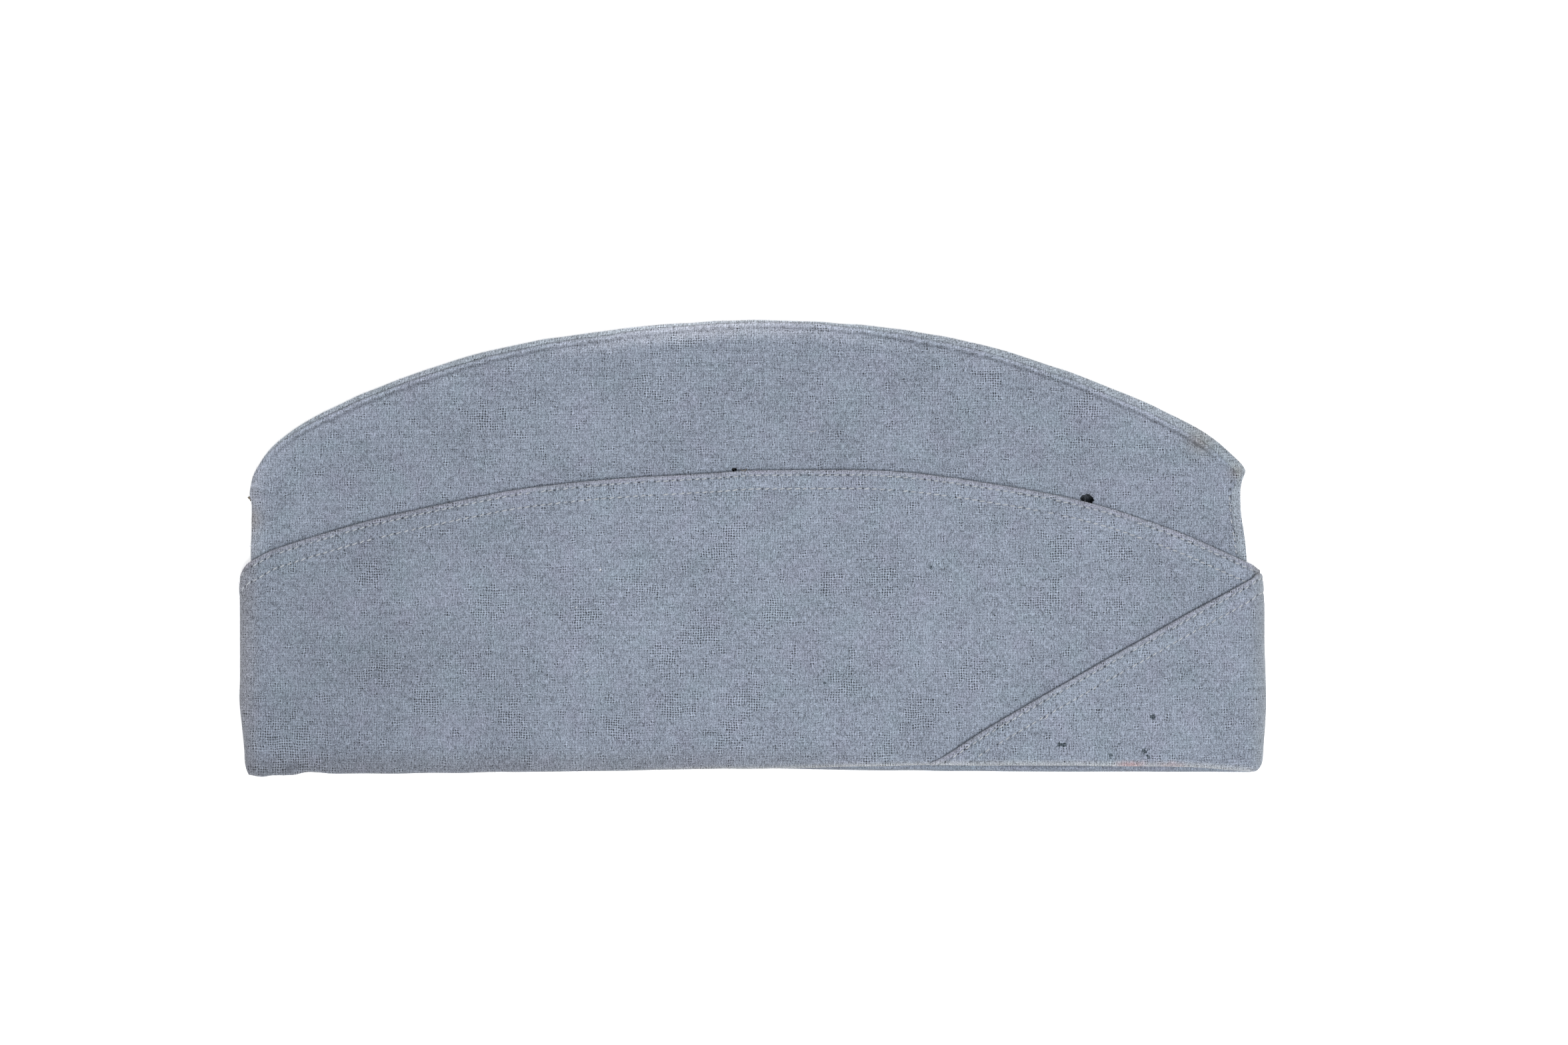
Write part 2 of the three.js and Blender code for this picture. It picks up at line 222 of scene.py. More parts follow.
@dataclass(frozen=True)
class CapShape:
    """The driving sizes of the cap, and the plain faces that all its plies follow."""

    length: float = 288.0
    height: float = 128.0
    crown_cloth: float = 1.2
    curtain_cloth: float = 1.6
    gap: float = 0.3
    hollow_depth: float = 8.0
    hollow_reach: float = 64.0
    settle_reach: float = 20.0
    settle_clear: float = 0.6
    crown_back: float = -140.4
    foot_depth: float = 1.5
    foot_height: float = 2.6
    broad_swell: float = 0.34
    small_swell: float = 0.15
    end_calm: Span = (5.0, 34.0)
    seam_calm: Span = (2.0, 14.0)
    fold_wave: float = 0.12
    fold_inset: float = 0.35
    front_noise_row: float = 40.0
    length_y: float = -30.0
    back_leans: tuple[Lean, ...] = (Lean(1.45, -42.0, -61.0),)
    front_leans: tuple[Lean, ...] = (
        Lean(0.5, -18.0, -6.5),
        Lean(0.35, -38.0, -24.0),
        Lean(0.85, -44.0, -62.0),
    )
    broad_noise: SoftNoise = SoftNoise(11, 34.0)
    small_noise: SoftNoise = SoftNoise(12, 13.0)
    fold_noise: SoftNoise = SoftNoise(13, 7.0)

    @property
    def mouth_y(self) -> float:
        """Y of the cap's lowest outline."""
        return -self.height / 2

    def crown_front(self, y: Array) -> Array:
        """X of the crown's front edge at a height."""
        return FRONT_EDGE.at(y - self.mouth_y)

    def opened(self, distance: Array) -> Array:
        """How far the crown's sides part at a distance from their seam, from 0 to 1."""
        return np.sin(np.clip(distance / self.hollow_reach, 0.0, 1.0) * np.pi / 2)

    def hollow(self, x: Array, y: Array) -> Array:
        """The air between the crown's two sides, which swells away from the seam.

        Args:
            x: X of the points.
            y: Y of the points.

        Returns:
            The height of the air there.
        """
        share = self.opened(x - self.crown_back) * self.opened(self.crown_front(y) - x)
        share = share * self.opened(RIDGE.at(x) - y)
        return self.gap + (self.hollow_depth - self.gap) * share

    def left_underside(self, x: Array, y: Array) -> Array:
        """Z of the left side's outer face, which sinks towards the floor past the curtain."""
        past = y - CURTAIN_TOP.at(x)
        return mix(self.curtain_cloth + self.gap, self.settle_clear, ease(past, 0.0, self.settle_reach))

    def fold_lean(self, leans: Sequence[Lean], y: Array, noise_row: float) -> Array:
        """How far a fold leans in, with slight waves from a row of the noise."""
        wave = self.fold_wave * (1.0 + self.fold_noise.at(y, noise_row))
        return sum(lean.at(y) for lean in leans) + wave

    def back_draw(self, y: Array) -> Array:
        """How far the fold at the back leans in at a height."""
        return self.fold_inset + self.fold_lean(self.back_leans, y, 0.0)

    def front_draw(self, y: Array) -> Array:
        """How far the fold at the front leans in at a height."""
        return self.fold_lean(self.front_leans, y, self.front_noise_row)

    def swell(self, x: Array, y: Array) -> Array:
        """The slow unevenness of the near plies, which dies away towards the cap's ends."""
        uneven = self.broad_swell * self.broad_noise.at(x, y) + self.small_swell * self.small_noise.at(x, y)
        return uneven * ease(self.length / 2 - np.abs(x), *self.end_calm)

    def right_top(self, x: Array, y: Array) -> Array:
        """Z of the right side's plain outer face."""
        plain = self.left_underside(x, y) + 2 * self.crown_cloth + self.hollow(x, y)
        return plain + ease(RIDGE.at(x) - y, *self.seam_calm) * self.swell(x, y)


SHAPE = CapShape()


def make_object(name: str, points: Array, faces: Sequence[Sequence[int]]) -> Piece:
    """A smooth-shaded mesh object in the scene.

    Args:
        name: The object's name.
        points: Its vertices in millimetres.
        faces: Vertex numbers of each face.

    Returns:
        The new object.
    """
    mesh = bpy.data.meshes.new(name)
    mesh.from_pydata((points * MM).tolist(), [], faces)
    mesh.shade_smooth()
    made = bpy.data.objects.new(name, mesh)
    bpy.context.scene.collection.objects.link(made)
    return made


def mark(target: Piece, name: str, values: Array) -> None:
    """Store a vector on each vertex, for the finishes to read."""
    attribute = target.data.attributes.new(name, "FLOAT_VECTOR", "POINT")
    attribute.data.foreach_set("vector", np.ascontiguousarray(values, dtype=np.float32).ravel())


def make_threads(name: str, lines: Array, radii: Array, sides: int) -> Piece:
    """Round threads along many lines, as one object.

    Args:
        name: The object's name.
        lines: Points for each line and step.
        radii: The thread's radius at each step, or at each line and step.
        sides: How many sides a thread has.

    Returns:
        The threads.
    """
    along = unit(np.gradient(lines, axis=1))
    steep = np.abs(along[:, :1, 2:]) > STEEP
    aside = unit(np.cross(along, np.where(steep, (0.0, 1.0, 0.0), (0.0, 0.0, 1.0))))
    upright = np.cross(along, aside)
    turn = np.linspace(0.0, 2 * np.pi, sides, endpoint=False)[:, None]
    ring = aside[:, :, None] * np.cos(turn) + upright[:, :, None] * np.sin(turn)
    points = lines[:, :, None] + ring * np.broadcast_to(radii, lines.shape[:2])[..., None, None]
    number = np.arange(points[..., 0].size).reshape(points.shape[:3])
    turned = np.roll(number, -1, axis=2)
    quads = np.stack([number[:, :-1], turned[:, :-1], turned[:, 1:], number[:, 1:]], axis=-1).reshape(-1, 4)
    ends = [*number[:, 0, ::-1].tolist(), *number[:, -1].tolist()]
    made = make_object(name, points.reshape(-1, 3), [*quads.tolist(), *ends])
    run = np.linalg.norm(lines - lines[:, :1], axis=-1)[..., None]
    run, angle = np.broadcast_arrays(run, turn[:, 0])
    mark(made, "cloth", np.stack([run.ravel(), angle.ravel(), np.zeros(number.size)], axis=1))
    return made


def tapered(steps: int, end: float) -> Array:
    """The share of its radius that a short thread has at each step, with rounded ends."""
    return np.sqrt(np.maximum(1.0 - np.linspace(-1.0, 1.0, steps) ** 4, end))


def read(rows: bpy.types.bpy_prop_collection, name: str, width: int = 1, kind: type = float) -> Array:
    """One property of every row of a mesh's data.

    Args:
        rows: The vertices, faces, corners or marks of a mesh.
        name: The property's name.
        width: How many numbers it has.
        kind: The type of its numbers.

    Returns:
        One number for each row, or one row of numbers for each.
    """
    values = np.empty(len(rows) * width, dtype=kind)
    rows.foreach_get(name, values)
    return values.reshape(-1, width) if width > 1 else values


def vertices_of(target: Piece) -> Array:
    """The vertices of an object in millimetres."""
    return read(target.data.vertices, "co", 3) / MM


@dataclass
class ClothSweep:
    """Closed cloth as rings of points, one ring for each station along it."""

    rings: Array
    strips: int = 2
    least_step: float = 0.05
    strip_margin: float = 2.0
    turned_in: bool = False

    def faces(self) -> list[list[int]]:
        """The quads between the rings, then the two ends, all facing out.

        Returns:
            Vertex numbers of each face.
        """
        stations, size = self.rings.shape[:2]
        number = np.arange(stations * size).reshape(stations, size)
        turned = np.roll(number, -1, axis=1)
        quads = np.stack([number[:-1], turned[:-1], turned[1:], number[1:]], axis=-1).reshape(-1, 4)
        first, last = number[0, ::-1].tolist(), number[-1].tolist()
        self.turned_in = self.volume(quads) < 0
        if self.turned_in:
            quads = quads[:, ::-1]
            first, last = first[::-1], last[::-1]
        return [*quads.tolist(), first, last]

    def volume(self, quads: Array) -> float:
        """The signed volume under the quads, which is negative where they face in."""
        a, b, c, d = np.moveaxis(self.rings.reshape(-1, 3)[quads], 1, 0)
        return float(np.sum(np.cross(c - a, d - b) * (a + b + c + d)))

    def positions(self, axis: int) -> Array:
        """Even places of the rows along one axis of the grid, from their mean spacing.

        Args:
            axis: 0 for the stations, and 1 for the places round a ring.

        Returns:
            The places in millimetres.
        """
        closed = np.concatenate([self.rings, self.rings[:, :1]], axis=1) if axis else self.rings
        steps = np.linalg.norm(np.diff(closed, axis=axis), axis=-1).mean(axis=1 - axis)
        return np.concatenate([[0.0], np.cumsum(np.maximum(steps, self.least_step))])

    def unwrap(self, target: Piece) -> None:
        """Lay the sweep out flat in a few strips, as the map that its finish is baked through.

        Args:
            target: The object made from this sweep.
        """
        stations, size = self.rings.shape[:2]
        along, round_ring = self.positions(0), self.positions(1)
        length, height = along[-1] / self.strips, round_ring[-1] + self.strip_margin
        strip = np.minimum((along[:-1] / length).astype(int), self.strips - 1)
        left = along[np.searchsorted(strip, np.arange(self.strips))][strip]
        near, far = along[:-1] - left, along[1:] - left
        low, high = round_ring[:-1], round_ring[1:]
        u = np.stack(np.broadcast_arrays(near[:, None], near[:, None], far[:, None], far[:, None]), axis=-1)
        v = np.stack([low, high, high, low], axis=-1)[None] + (strip * height)[:, None, None]
        spots = np.stack(np.broadcast_arrays(u, v), axis=-1).reshape(-1, 4, 2)
        if self.turned_in:
            spots = spots[:, ::-1]
        turn = np.linspace(0.0, 2 * np.pi, size, endpoint=False)
        circle = np.stack([np.cos(turn), np.sin(turn)], axis=1) * self.strip_margin / 2
        ends = [circle + (self.strip_margin * (1 + 2 * end), height * self.strips) for end in range(2)]
        spots = np.concatenate([spots.reshape(-1, 2), *ends]) + self.strip_margin
        chart = target.data.uv_layers.new(name=BAKE_MAP)
        chart.data.foreach_set("uv", (spots / (spots.max() + self.strip_margin)).ravel())

    def to_object(self, name: str) -> Piece:
        """The sweep as an object with its flat map.

        Args:
            name: The object's name.

        Returns:
            The new object.
        """
        made = make_object(name, self.rings.reshape(-1, 3), self.faces())
        self.unwrap(made)
        return made


class Value:
    """A socket that carries a number. An expression on it adds Math nodes to its tree."""

    def __init__(self, book: "NodeBook", socket: Socket) -> None:
        """Wrap an output socket of a node book's tree."""
        self.book = book
        self.socket = socket

    def math(self, operation: str, *operands: "Value | float", clamp: bool = False) -> "Value":
        """One Math node.

        Args:
            operation: The node's operation.
            operands: Its values in order.
            clamp: Whether its result is held between 0 and 1.

        Returns:
            The node's result.
        """
        sockets = dict(enumerate(operands))
        node = self.book.node("ShaderNodeMath", {"operation": operation, "use_clamp": clamp}, sockets)
        return Value(self.book, node.outputs[0])

    def __add__(self, other: "Value | float") -> "Value":
        """This value and another together."""
        return self.math("ADD", self, other)

    __radd__ = __add__

    def __sub__(self, other: "Value | float") -> "Value":
        """This value less another."""
        return self.math("SUBTRACT", self, other)

    def __rsub__(self, other: float) -> "Value":
        """A number less this value."""
        return self.math("SUBTRACT", other, self)

    def __mul__(self, other: "Value | float") -> "Value":
        """This value times another."""
        return self.math("MULTIPLY", self, other)

    __rmul__ = __mul__

    def __truediv__(self, other: "Value | float") -> "Value":
        """This value over another."""
        return self.math("DIVIDE", self, other)

    def __pow__(self, power: float) -> "Value":
        """This value raised to a power."""
        return self.math("POWER", self, power)

    def __neg__(self) -> "Value":
        """This value with its sign turned."""
        return self.math("MULTIPLY", self, -1.0)

    def sine(self) -> "Value":
        """The sine of this value."""
        return self.math("SINE", self)

    def size(self) -> "Value":
        """This value without its sign."""
        return self.math("ABSOLUTE", self)

    def part(self) -> "Value":
        """What is left of this value past its whole number."""
        return self.math("FRACT", self)

    def whole(self) -> "Value":
        """The whole number below this value."""
        return self.math("FLOOR", self)

    def held(self) -> "Value":
        """This value held between 0 and 1."""
        return self.math("ADD", self, 0.0, clamp=True)

    def larger(self, other: "Value | float") -> "Value":
        """The larger of this value and another."""
        return self.math("MAXIMUM", self, other)

    def rise(self, low: float, high: float) -> "Value":
        """A smooth step from 0 where this value is low to 1 where it is high.

        Args:
            low: Where the step starts.
            high: Where it ends, which may be the smaller of the two.

        Returns:
            The step.
        """
        start, end, first, last = (low, high, 0.0, 1.0) if low < high else (high, low, 1.0, 0.0)
        sockets = {"Value": self, "From Min": start, "From Max": end, "To Min": first, "To Max": last}
        node = self.book.node("ShaderNodeMapRange", {"interpolation_type": "SMOOTHSTEP"}, sockets)
        return Value(self.book, node.outputs[0])

    def near(self, middle: float, reach: float) -> "Value":
        """1 where this value is at the middle, falling smoothly to 0 at a reach from it."""
        return (self - middle).size().rise(reach, 0.0)


class NodeBook:
    """The node tree of one material."""

    noise_reach = 6.0

    def __init__(self, name: str) -> None:
        """Start an empty material.

        Args:
            name: The material's name.
        """
        self.material = bpy.data.materials.new(name)
        self.material.use_nodes = True
        self.tree = self.material.node_tree
        self.tree.nodes.clear()

    def node(self, kind: str, settings: dict, sockets: dict) -> bpy.types.Node:
        """Add a node.

        Args:
            kind: The node's type.
            settings: Its properties, which are set first.
            sockets: A value or a link for each of its inputs, by name or number.

        Returns:
            The new node.
        """
        made = self.tree.nodes.new(kind)
        for name, setting in settings.items():
            setattr(made, name, setting)
        for name, given in sockets.items():
            source = given.socket if isinstance(given, Value) else given
            if isinstance(source, Socket):
                self.tree.links.new(source, made.inputs[name])
            else:
                made.inputs[name].default_value = source
        return made

    def parts(self, vector: Socket) -> tuple[Value, Value, Value]:
        """The three numbers of a vector."""
        node = self.node("ShaderNodeSeparateXYZ", {}, {"Vector": vector})
        return tuple(Value(self, socket) for socket in node.outputs)

    def mark(self, name: str) -> Socket:
        """A vector stored on the mesh."""
        return self.node("ShaderNodeAttribute", {"attribute_name": name}, {}).outputs["Vector"]

    def place(self) -> Socket:
        """The place on the object in millimetres."""
        spot = self.node("ShaderNodeTexCoord", {}, {}).outputs["Object"]
        return self.scaled(spot, (1 / MM, 1 / MM, 1 / MM))

    def upright(self) -> Value:
        """How steeply the face stands, from 0 where it lies level to 1."""
        _, _, up = self.parts(self.node("ShaderNodeNewGeometry", {}, {}).outputs["True Normal"])
        return 1 - up.size()

    def scaled(self, vector: Socket, scale: Triple) -> Socket:
        """A vector scaled along each axis."""
        return self.node("ShaderNodeVectorMath", {"operation": "MULTIPLY"}, {0: vector, 1: scale}).outputs[0]

    def joined(self, x: Value | float, y: Value | float, z: Value | float) -> Socket:
        """Three numbers as a vector."""
        return self.node("ShaderNodeCombineXYZ", {}, {0: x, 1: y, 2: z}).outputs[0]

    def noise(self, vector: Socket, scale: float, detail: float = 2.0, rough: float = 0.5) -> Value:
        """Noise about 0, mostly between -1 and 1.

        Args:
            vector: The place that it is read at.
            scale: How many of its cells fit in one unit.
            detail: How many finer layers it has.
            rough: How strong the finer layers are.

        Returns:
            The noise.
        """
        sockets = {"Vector": vector, "Scale": scale, "Detail": detail, "Roughness": rough}
        node = self.node("ShaderNodeTexNoise", {"noise_dimensions": "3D"}, sockets)
        return (Value(self, node.outputs[0]) - 0.5) * self.noise_reach

    def cell(self, column: Value, row: Value | float) -> Value:
        """A random number of its own for each cell of a grid.

        Args:
            column: The cell's column.
            row: The cell's row.

        Returns:
            Numbers from -0.5 to 0.5.
        """
        sockets = {"Vector": self.joined(column, row, 0.0)}
        node = self.node("ShaderNodeTexWhiteNoise", {"noise_dimensions": "2D"}, sockets)
        return Value(self, node.outputs[0]) - 0.5

    def blend(self, share: Value, first: Socket | Colour, second: Colour) -> Socket:
        """Two colours mixed, by the share of the second that shows."""
        settings = {"data_type": "RGBA", "blend_type": "MIX", "clamp_factor": True}
        return self.node("ShaderNodeMix", settings, {0: share, 6: first, 7: second}).outputs[2]

    def shade(self, amount: Value, colour: Socket) -> Socket:
        """A colour made lighter or darker by an amount."""
        grey = self.joined(amount, amount, amount)
        return self.node("ShaderNodeVectorMath", {"operation": "MULTIPLY"}, {0: colour, 1: grey}).outputs[0]

    def close(self, sockets: dict, height: Value | None, bump: float, depth: float) -> bpy.types.Material:
        """Finish the material with its shader.

        Args:
            sockets: The shader's values and links.
            height: The height of the fine relief, where it has one.
            bump: How strongly the relief shows.
            depth: The relief's depth in metres.

        Returns:
            The material.
        """
        if height is not None:
            relief = {"Height": height, "Strength": bump, "Distance": depth}
            sockets["Normal"] = self.node("ShaderNodeBump", {}, relief).outputs[0]
        shader = self.node("ShaderNodeBsdfPrincipled", {}, sockets)
        self.node("ShaderNodeOutputMaterial", {}, {"Surface": shader.outputs[0]})
        return self.material

    def stirred(self, vector: Socket, scale: float, reach: float) -> Socket:
        """A place pushed about by noise.

        Args:
            vector: The place.
            scale: How many of the noise's cells fit in one unit.
            reach: How far the place moves across the whole range of the noise.

        Returns:
            The new place.
        """
        noise = self.node("ShaderNodeTexNoise", {}, {"Vector": vector, "Scale": scale, "Detail": 1.0})
        middle = {0: noise.outputs[1], 1: (0.5,) * 3}
        centred = self.node("ShaderNodeVectorMath", {"operation": "SUBTRACT"}, middle)
        push = {0: centred.outputs[0], 1: (reach,) * 3, 2: vector}
        return self.node("ShaderNodeVectorMath", {"operation": "MULTIPLY_ADD"}, push).outputs[0]


@dataclass(frozen=True)
class Nip:
    """A small place where the cloth is eaten thin, or a dark speck."""

    x: float
    y: float
    reach: float


@dataclass(frozen=True)
class Weave:
    """A plain weave over the cloth: its threads' height, its gaps, and each crossing's own shade."""

    thread: Value
    gap: Value
    crossing: Value


@dataclass(frozen=True)
class Surface:
    """What a finish works out over the cloth: its colour, how light it is, and its fine relief."""

    colour: Socket
    light: Value
    height: Value


@dataclass(frozen=True)
class NapLayer:
    """One layer of the nap's unevenness: its noise, and how much it lightens and lifts the cloth."""

    scale: float
    light: float
    lift: float = 0.0
    detail: float = 2.0
    rough: float = 0.5
    stretch: Triple | None = None

    def noise(self, book: NodeBook, flat: Socket) -> Value:
        """The layer's noise at a place on the cloth."""
        place = book.scaled(flat, self.stretch) if self.stretch else flat
        return book.noise(place, self.scale, self.detail, self.rough)


@dataclass(frozen=True)
class NeedleRow:
    """A sewn row: its place from the hem's edge, the painted shade in its needle holes, and the painted shade
    along its line.
    """

    place: float
    hole_painted_shade: float
    line_painted_shade: float


@dataclass(frozen=True)
class HemDetail:
    """The curtain's stitched hem, its foot painted darker as shade, its worn ends and the pale crest of its
    fold.
    """

    crest_from: float
    cream: Colour = (0.6, 0.59, 0.54, 1.0)
    blush: Colour = (0.45, 0.24, 0.25, 1.0)
    foot_colour: Colour = (0.258, 0.265, 0.302, 1.0)
    end_colour: Colour = (0.25, 0.278, 0.308, 1.0)
    stitch_pitch: float = 2.15
    rows: tuple[NeedleRow, ...] = (NeedleRow(1.45, 0.62, 0.12), NeedleRow(5.2, 0.58, 0.05))
    line_reach: float = 0.45
    hole_reach: float = 0.4
    hole_span: Span = (0.24, 0.02)
    hole_level: float = 0.9
    row_share: float = 0.3
    outer_face: Span = (-0.5, 0.0)
    edge_span: Span = (1.5, 0.7)
    edge_painted_light: float = 0.07
    edge_blush: float = 0.07
    doubled_span: Span = (6.4, 5.0)
    doubled_painted_light: float = 0.05
    low_y: Span = (-15.0, -58.0)
    low_x: Span = (80.0, -60.0)
    low_painted_shade: float = 0.06
    foot_span: Span = (9.0, 1.0)
    foot_x: Span = (70.0, -30.0)
    foot_painted_shade: float = 0.17
    foot_tint: float = 0.4
    dent_x: Span = (-129.0, 5.0)
    dent_span: Span = (2.5, 2.5)
    dent_painted_shade: float = 0.12
    back_end: Span = (-138.6, -143.6)
    back_rib_pitch: float = 0.75
    back_rib_slant: float = 1.2
    back_rib_light: float = 0.09
    front_end: Span = (137.5, 143.6)
    front_worn: float = 0.3
    front_tint: float = 0.6
    crest_span: Span = (0.7, 1.8)
    crest_growth: float = 25.0
    crest_end: Span = (142.0, 138.0)
    ragged_noise: Triple = (0.5, 3.0, 0.6)
    crest_ragged: float = 0.25
    crest_share: Span = (0.85, 0.3)
    crest_tint: float = 0.3
    stain_places: Span = (105.3, 117.0)
    stain_reach: float = 6.0
    second_stain: float = 0.45
    stain_span: Span = (0.9, 1.7)
    stain_ragged: float = 0.4
    stain_tint: float = 0.5

    def add(self, book: NodeBook, surface: Surface) -> Surface:
        """The cloth's surface with these details.

        Args:
            book: The material's nodes.
            surface: The plain cloth.

        Returns:
            The detailed cloth.
        """
        along, hem, fold = book.parts(book.mark("hem"))
        x, y, _ = book.parts(book.place())
        holes = self.needle_holes(book, along, hem)
        # Painted shade along the grooves of the stitch rows.
        sewn = sum(row.line_painted_shade * hem.near(row.place, self.line_reach) for row in self.rows)
        outer = hem.rise(*self.outer_face)
        edge, doubled = (hem.rise(*span) * outer for span in (self.edge_span, self.doubled_span))
        # Painted shade: darker towards the lower left, along the fold at the mouth on the left half, and in
        # the hollow over the dent. The fold's painted shade is tinted towards the foot colour.
        low = y.rise(*self.low_y) * x.rise(*self.low_x)
        foot = fold.rise(*self.foot_span) * x.rise(*self.foot_x)
        dent = x.near(*self.dent_x) * fold.near(*self.dent_span)
        dark = self.low_painted_shade * low + self.foot_painted_shade * foot + self.dent_painted_shade * dent
        # Painted light: the raised hem edge and the doubled hem are made lighter.
        raised = self.edge_painted_light * edge + self.doubled_painted_light * doubled
        light = surface.light * (1 + raised - sewn - dark) * (1 - holes)
        colour = book.blend(self.foot_tint * foot, surface.colour, self.foot_colour)
        colour = book.blend(self.edge_blush * edge, colour, self.blush)
        back, front = x.rise(*self.back_end), x.rise(*self.front_end)
        ribs = ((y + self.back_rib_slant * x) * (2 * math.pi / self.back_rib_pitch)).sine()
        light = light + (1 - light) * self.front_worn * front + self.back_rib_light * ribs * back
        colour = book.blend(self.front_tint * front, colour, self.end_colour)
        colour = self.fold_colour(book, colour, x, fold)
        return Surface(colour, light, surface.height - holes)

    def needle_holes(self, book: NodeBook, along: Value, hem: Value) -> Value:
        """How deep the holes beside the stitches are, and how dark they are painted, as painted shade in the
        holes.

        Args:
            book: The material's nodes.
            along: The distance along the hem.
            hem: The distance from the hem's edge.

        Returns:
            The holes.
        """
        beat = along / self.stitch_pitch + 0.5
        beside = (beat.part() - 0.5).size().rise(*self.hole_span)
        rows = sum(row.hole_painted_shade * hem.near(row.place, self.hole_reach) for row in self.rows)
        uneven = book.cell(beat.whole(), (hem * self.row_share).whole())
        return rows * beside * (self.hole_level + self.hole_level * uneven)

    def fold_colour(self, book: NodeBook, colour: Socket, x: Value, fold: Value) -> Socket:
        """The colour with the pale crest of the fold at the mouth, and the pink stain on it.

        Args:
            book: The material's nodes.
            colour: The cloth's colour.
            x: X of the place.
            fold: The distance from the fold's crest.

        Returns:
            The colour.
        """
        ragged = book.noise(book.joined(x, 0.0, 0.0), *self.ragged_noise)
        level, swing = self.crest_share
        crest = (fold + self.crest_ragged * ragged).near(*self.crest_span)
        crest = crest * x.rise(self.crest_from, self.crest_from + self.crest_growth)
        crest = crest * x.rise(*self.crest_end) * (level + swing * ragged).held()
        colour = book.blend(self.crest_tint * crest, colour, self.cream)
        first, second = (x.near(place, self.stain_reach) for place in self.stain_places)
        stain = first.larger(self.second_stain * second)
        stain = stain * (fold + self.stain_ragged * ragged).near(*self.stain_span)
        return book.blend(self.stain_tint * stain, colour, self.blush)


@dataclass(frozen=True)
class SeamDetail:
    """The crown's corded welt with its painted highlight, the ditch beside it with its painted shade, the
    paler strip rolled over the seam, and the front edge's needle holes.
    """

    strip_colour: Colour = (0.25, 0.285, 0.3, 1.0)
    pale: Colour = (0.27, 0.281, 0.32, 1.0)
    uneven_scale: float = 0.35
    rib_pitch: float = 1.1
    rib_slant: float = 0.9
    rib_light: float = 0.2
    strip_ribs: float = 0.4
    rib_lift: float = 0.4
    ridge_from: Span = (84.0, 100.0)
    ridge_to: Span = (380.0, 366.0)
    front_half: Span = (15.0, 65.0)
    cord: Span = (0.75, 0.8)
    cord_painted_light: float = 0.16
    front_cord_painted_light: float = 0.06
    ditch: Span = (1.5, 0.7)
    ditch_wander: float = 0.2
    ditch_painted_shade: float = 0.4
    ditch_uneven: float = 0.12
    joint: Span = (0.05, 0.35)
    joint_wander: float = 0.1
    joint_dark: float = 0.28
    front_joint: float = 0.26
    lighter_band_middle: Span = (-12.0, 60.0)
    lighter_band_least: float = 0.21
    lighter_band_end: Span = (136.0, 112.0)
    lighter_band_reach: Span = (6.5, 1.0)
    lighter_band_wander: float = 0.6
    lighter_band_light: float = 0.68
    lighter_band_tint: float = 0.8
    seam_pitch: float = 1.75
    needle_row: Span = (0.35, 0.5)
    needle_span: Span = (0.26, 0.05)
    needle_from: Span = (376.0, 384.0)
    needle_painted_shade: float = 0.62
    strip_light: float = 0.2
    strip_tint: float = 0.4

    def add(self, book: NodeBook, surface: Surface) -> Surface:
        """The cloth's surface with these details.

        Args:
            book: The material's nodes.
            surface: The plain cloth.

        Returns:
            The detailed cloth.
        """
        along, inside, strip = book.parts(book.mark("seam"))
        x, _, _ = book.parts(book.place())
        uneven = book.noise(book.joined(along, 0.0, 0.0), self.uneven_scale)
        sewn, front = along.rise(*self.ridge_from), x.rise(*self.front_half)
        ridge = sewn * along.rise(*self.ridge_to) * (1 - strip)
        corded = inside.near(*self.cord) * ridge
        ditch = (inside + self.ditch_wander * uneven).near(*self.ditch) * ridge
        joint = (inside + self.joint_wander * uneven).near(*self.joint) * sewn
        # Painted shade in the stitched ditch beside the welt.
        dark = ditch * (self.ditch_painted_shade + self.ditch_uneven * uneven)
        dark = dark + joint * (self.joint_dark - self.front_joint * front)
        # A band along the ridge, strongest in the middle, made lighter and paler.
        lighter_band = self.lighter_band_least + (1 - self.lighter_band_least) * x.near(*self.lighter_band_middle)
        lighter_band = lighter_band * x.rise(*self.lighter_band_end)
        lighter_band = lighter_band * (inside + self.lighter_band_wander * uneven).rise(*self.lighter_band_reach)
        light = surface.light * (1 + self.lighter_band_light * lighter_band - dark)
        # Painted highlight on the crest of the corded welt.
        light = light + (self.cord_painted_light + self.front_cord_painted_light * front) * corded
        # Painted shade in the needle holes along the front edge.
        beside = ((along / self.seam_pitch + 0.5).part() - 0.5).size().rise(*self.needle_span)
        holes = inside.near(*self.needle_row) * beside * along.rise(*self.needle_from) * (1 - strip)
        ribs = ((along + self.rib_slant * inside) * (2 * math.pi / self.rib_pitch)).sine()
        light = light * (1 + self.strip_light * strip) * (1 - self.needle_painted_shade * holes)
        light = light + self.rib_light * ribs * (corded + self.strip_ribs * strip)
        colour = book.blend(self.lighter_band_tint * lighter_band, surface.colour, self.pale)
        colour = book.blend(self.strip_tint * strip, colour, self.strip_colour)
        return Surface(colour, light, surface.height + self.rib_lift * ribs * (corded + strip) - holes)


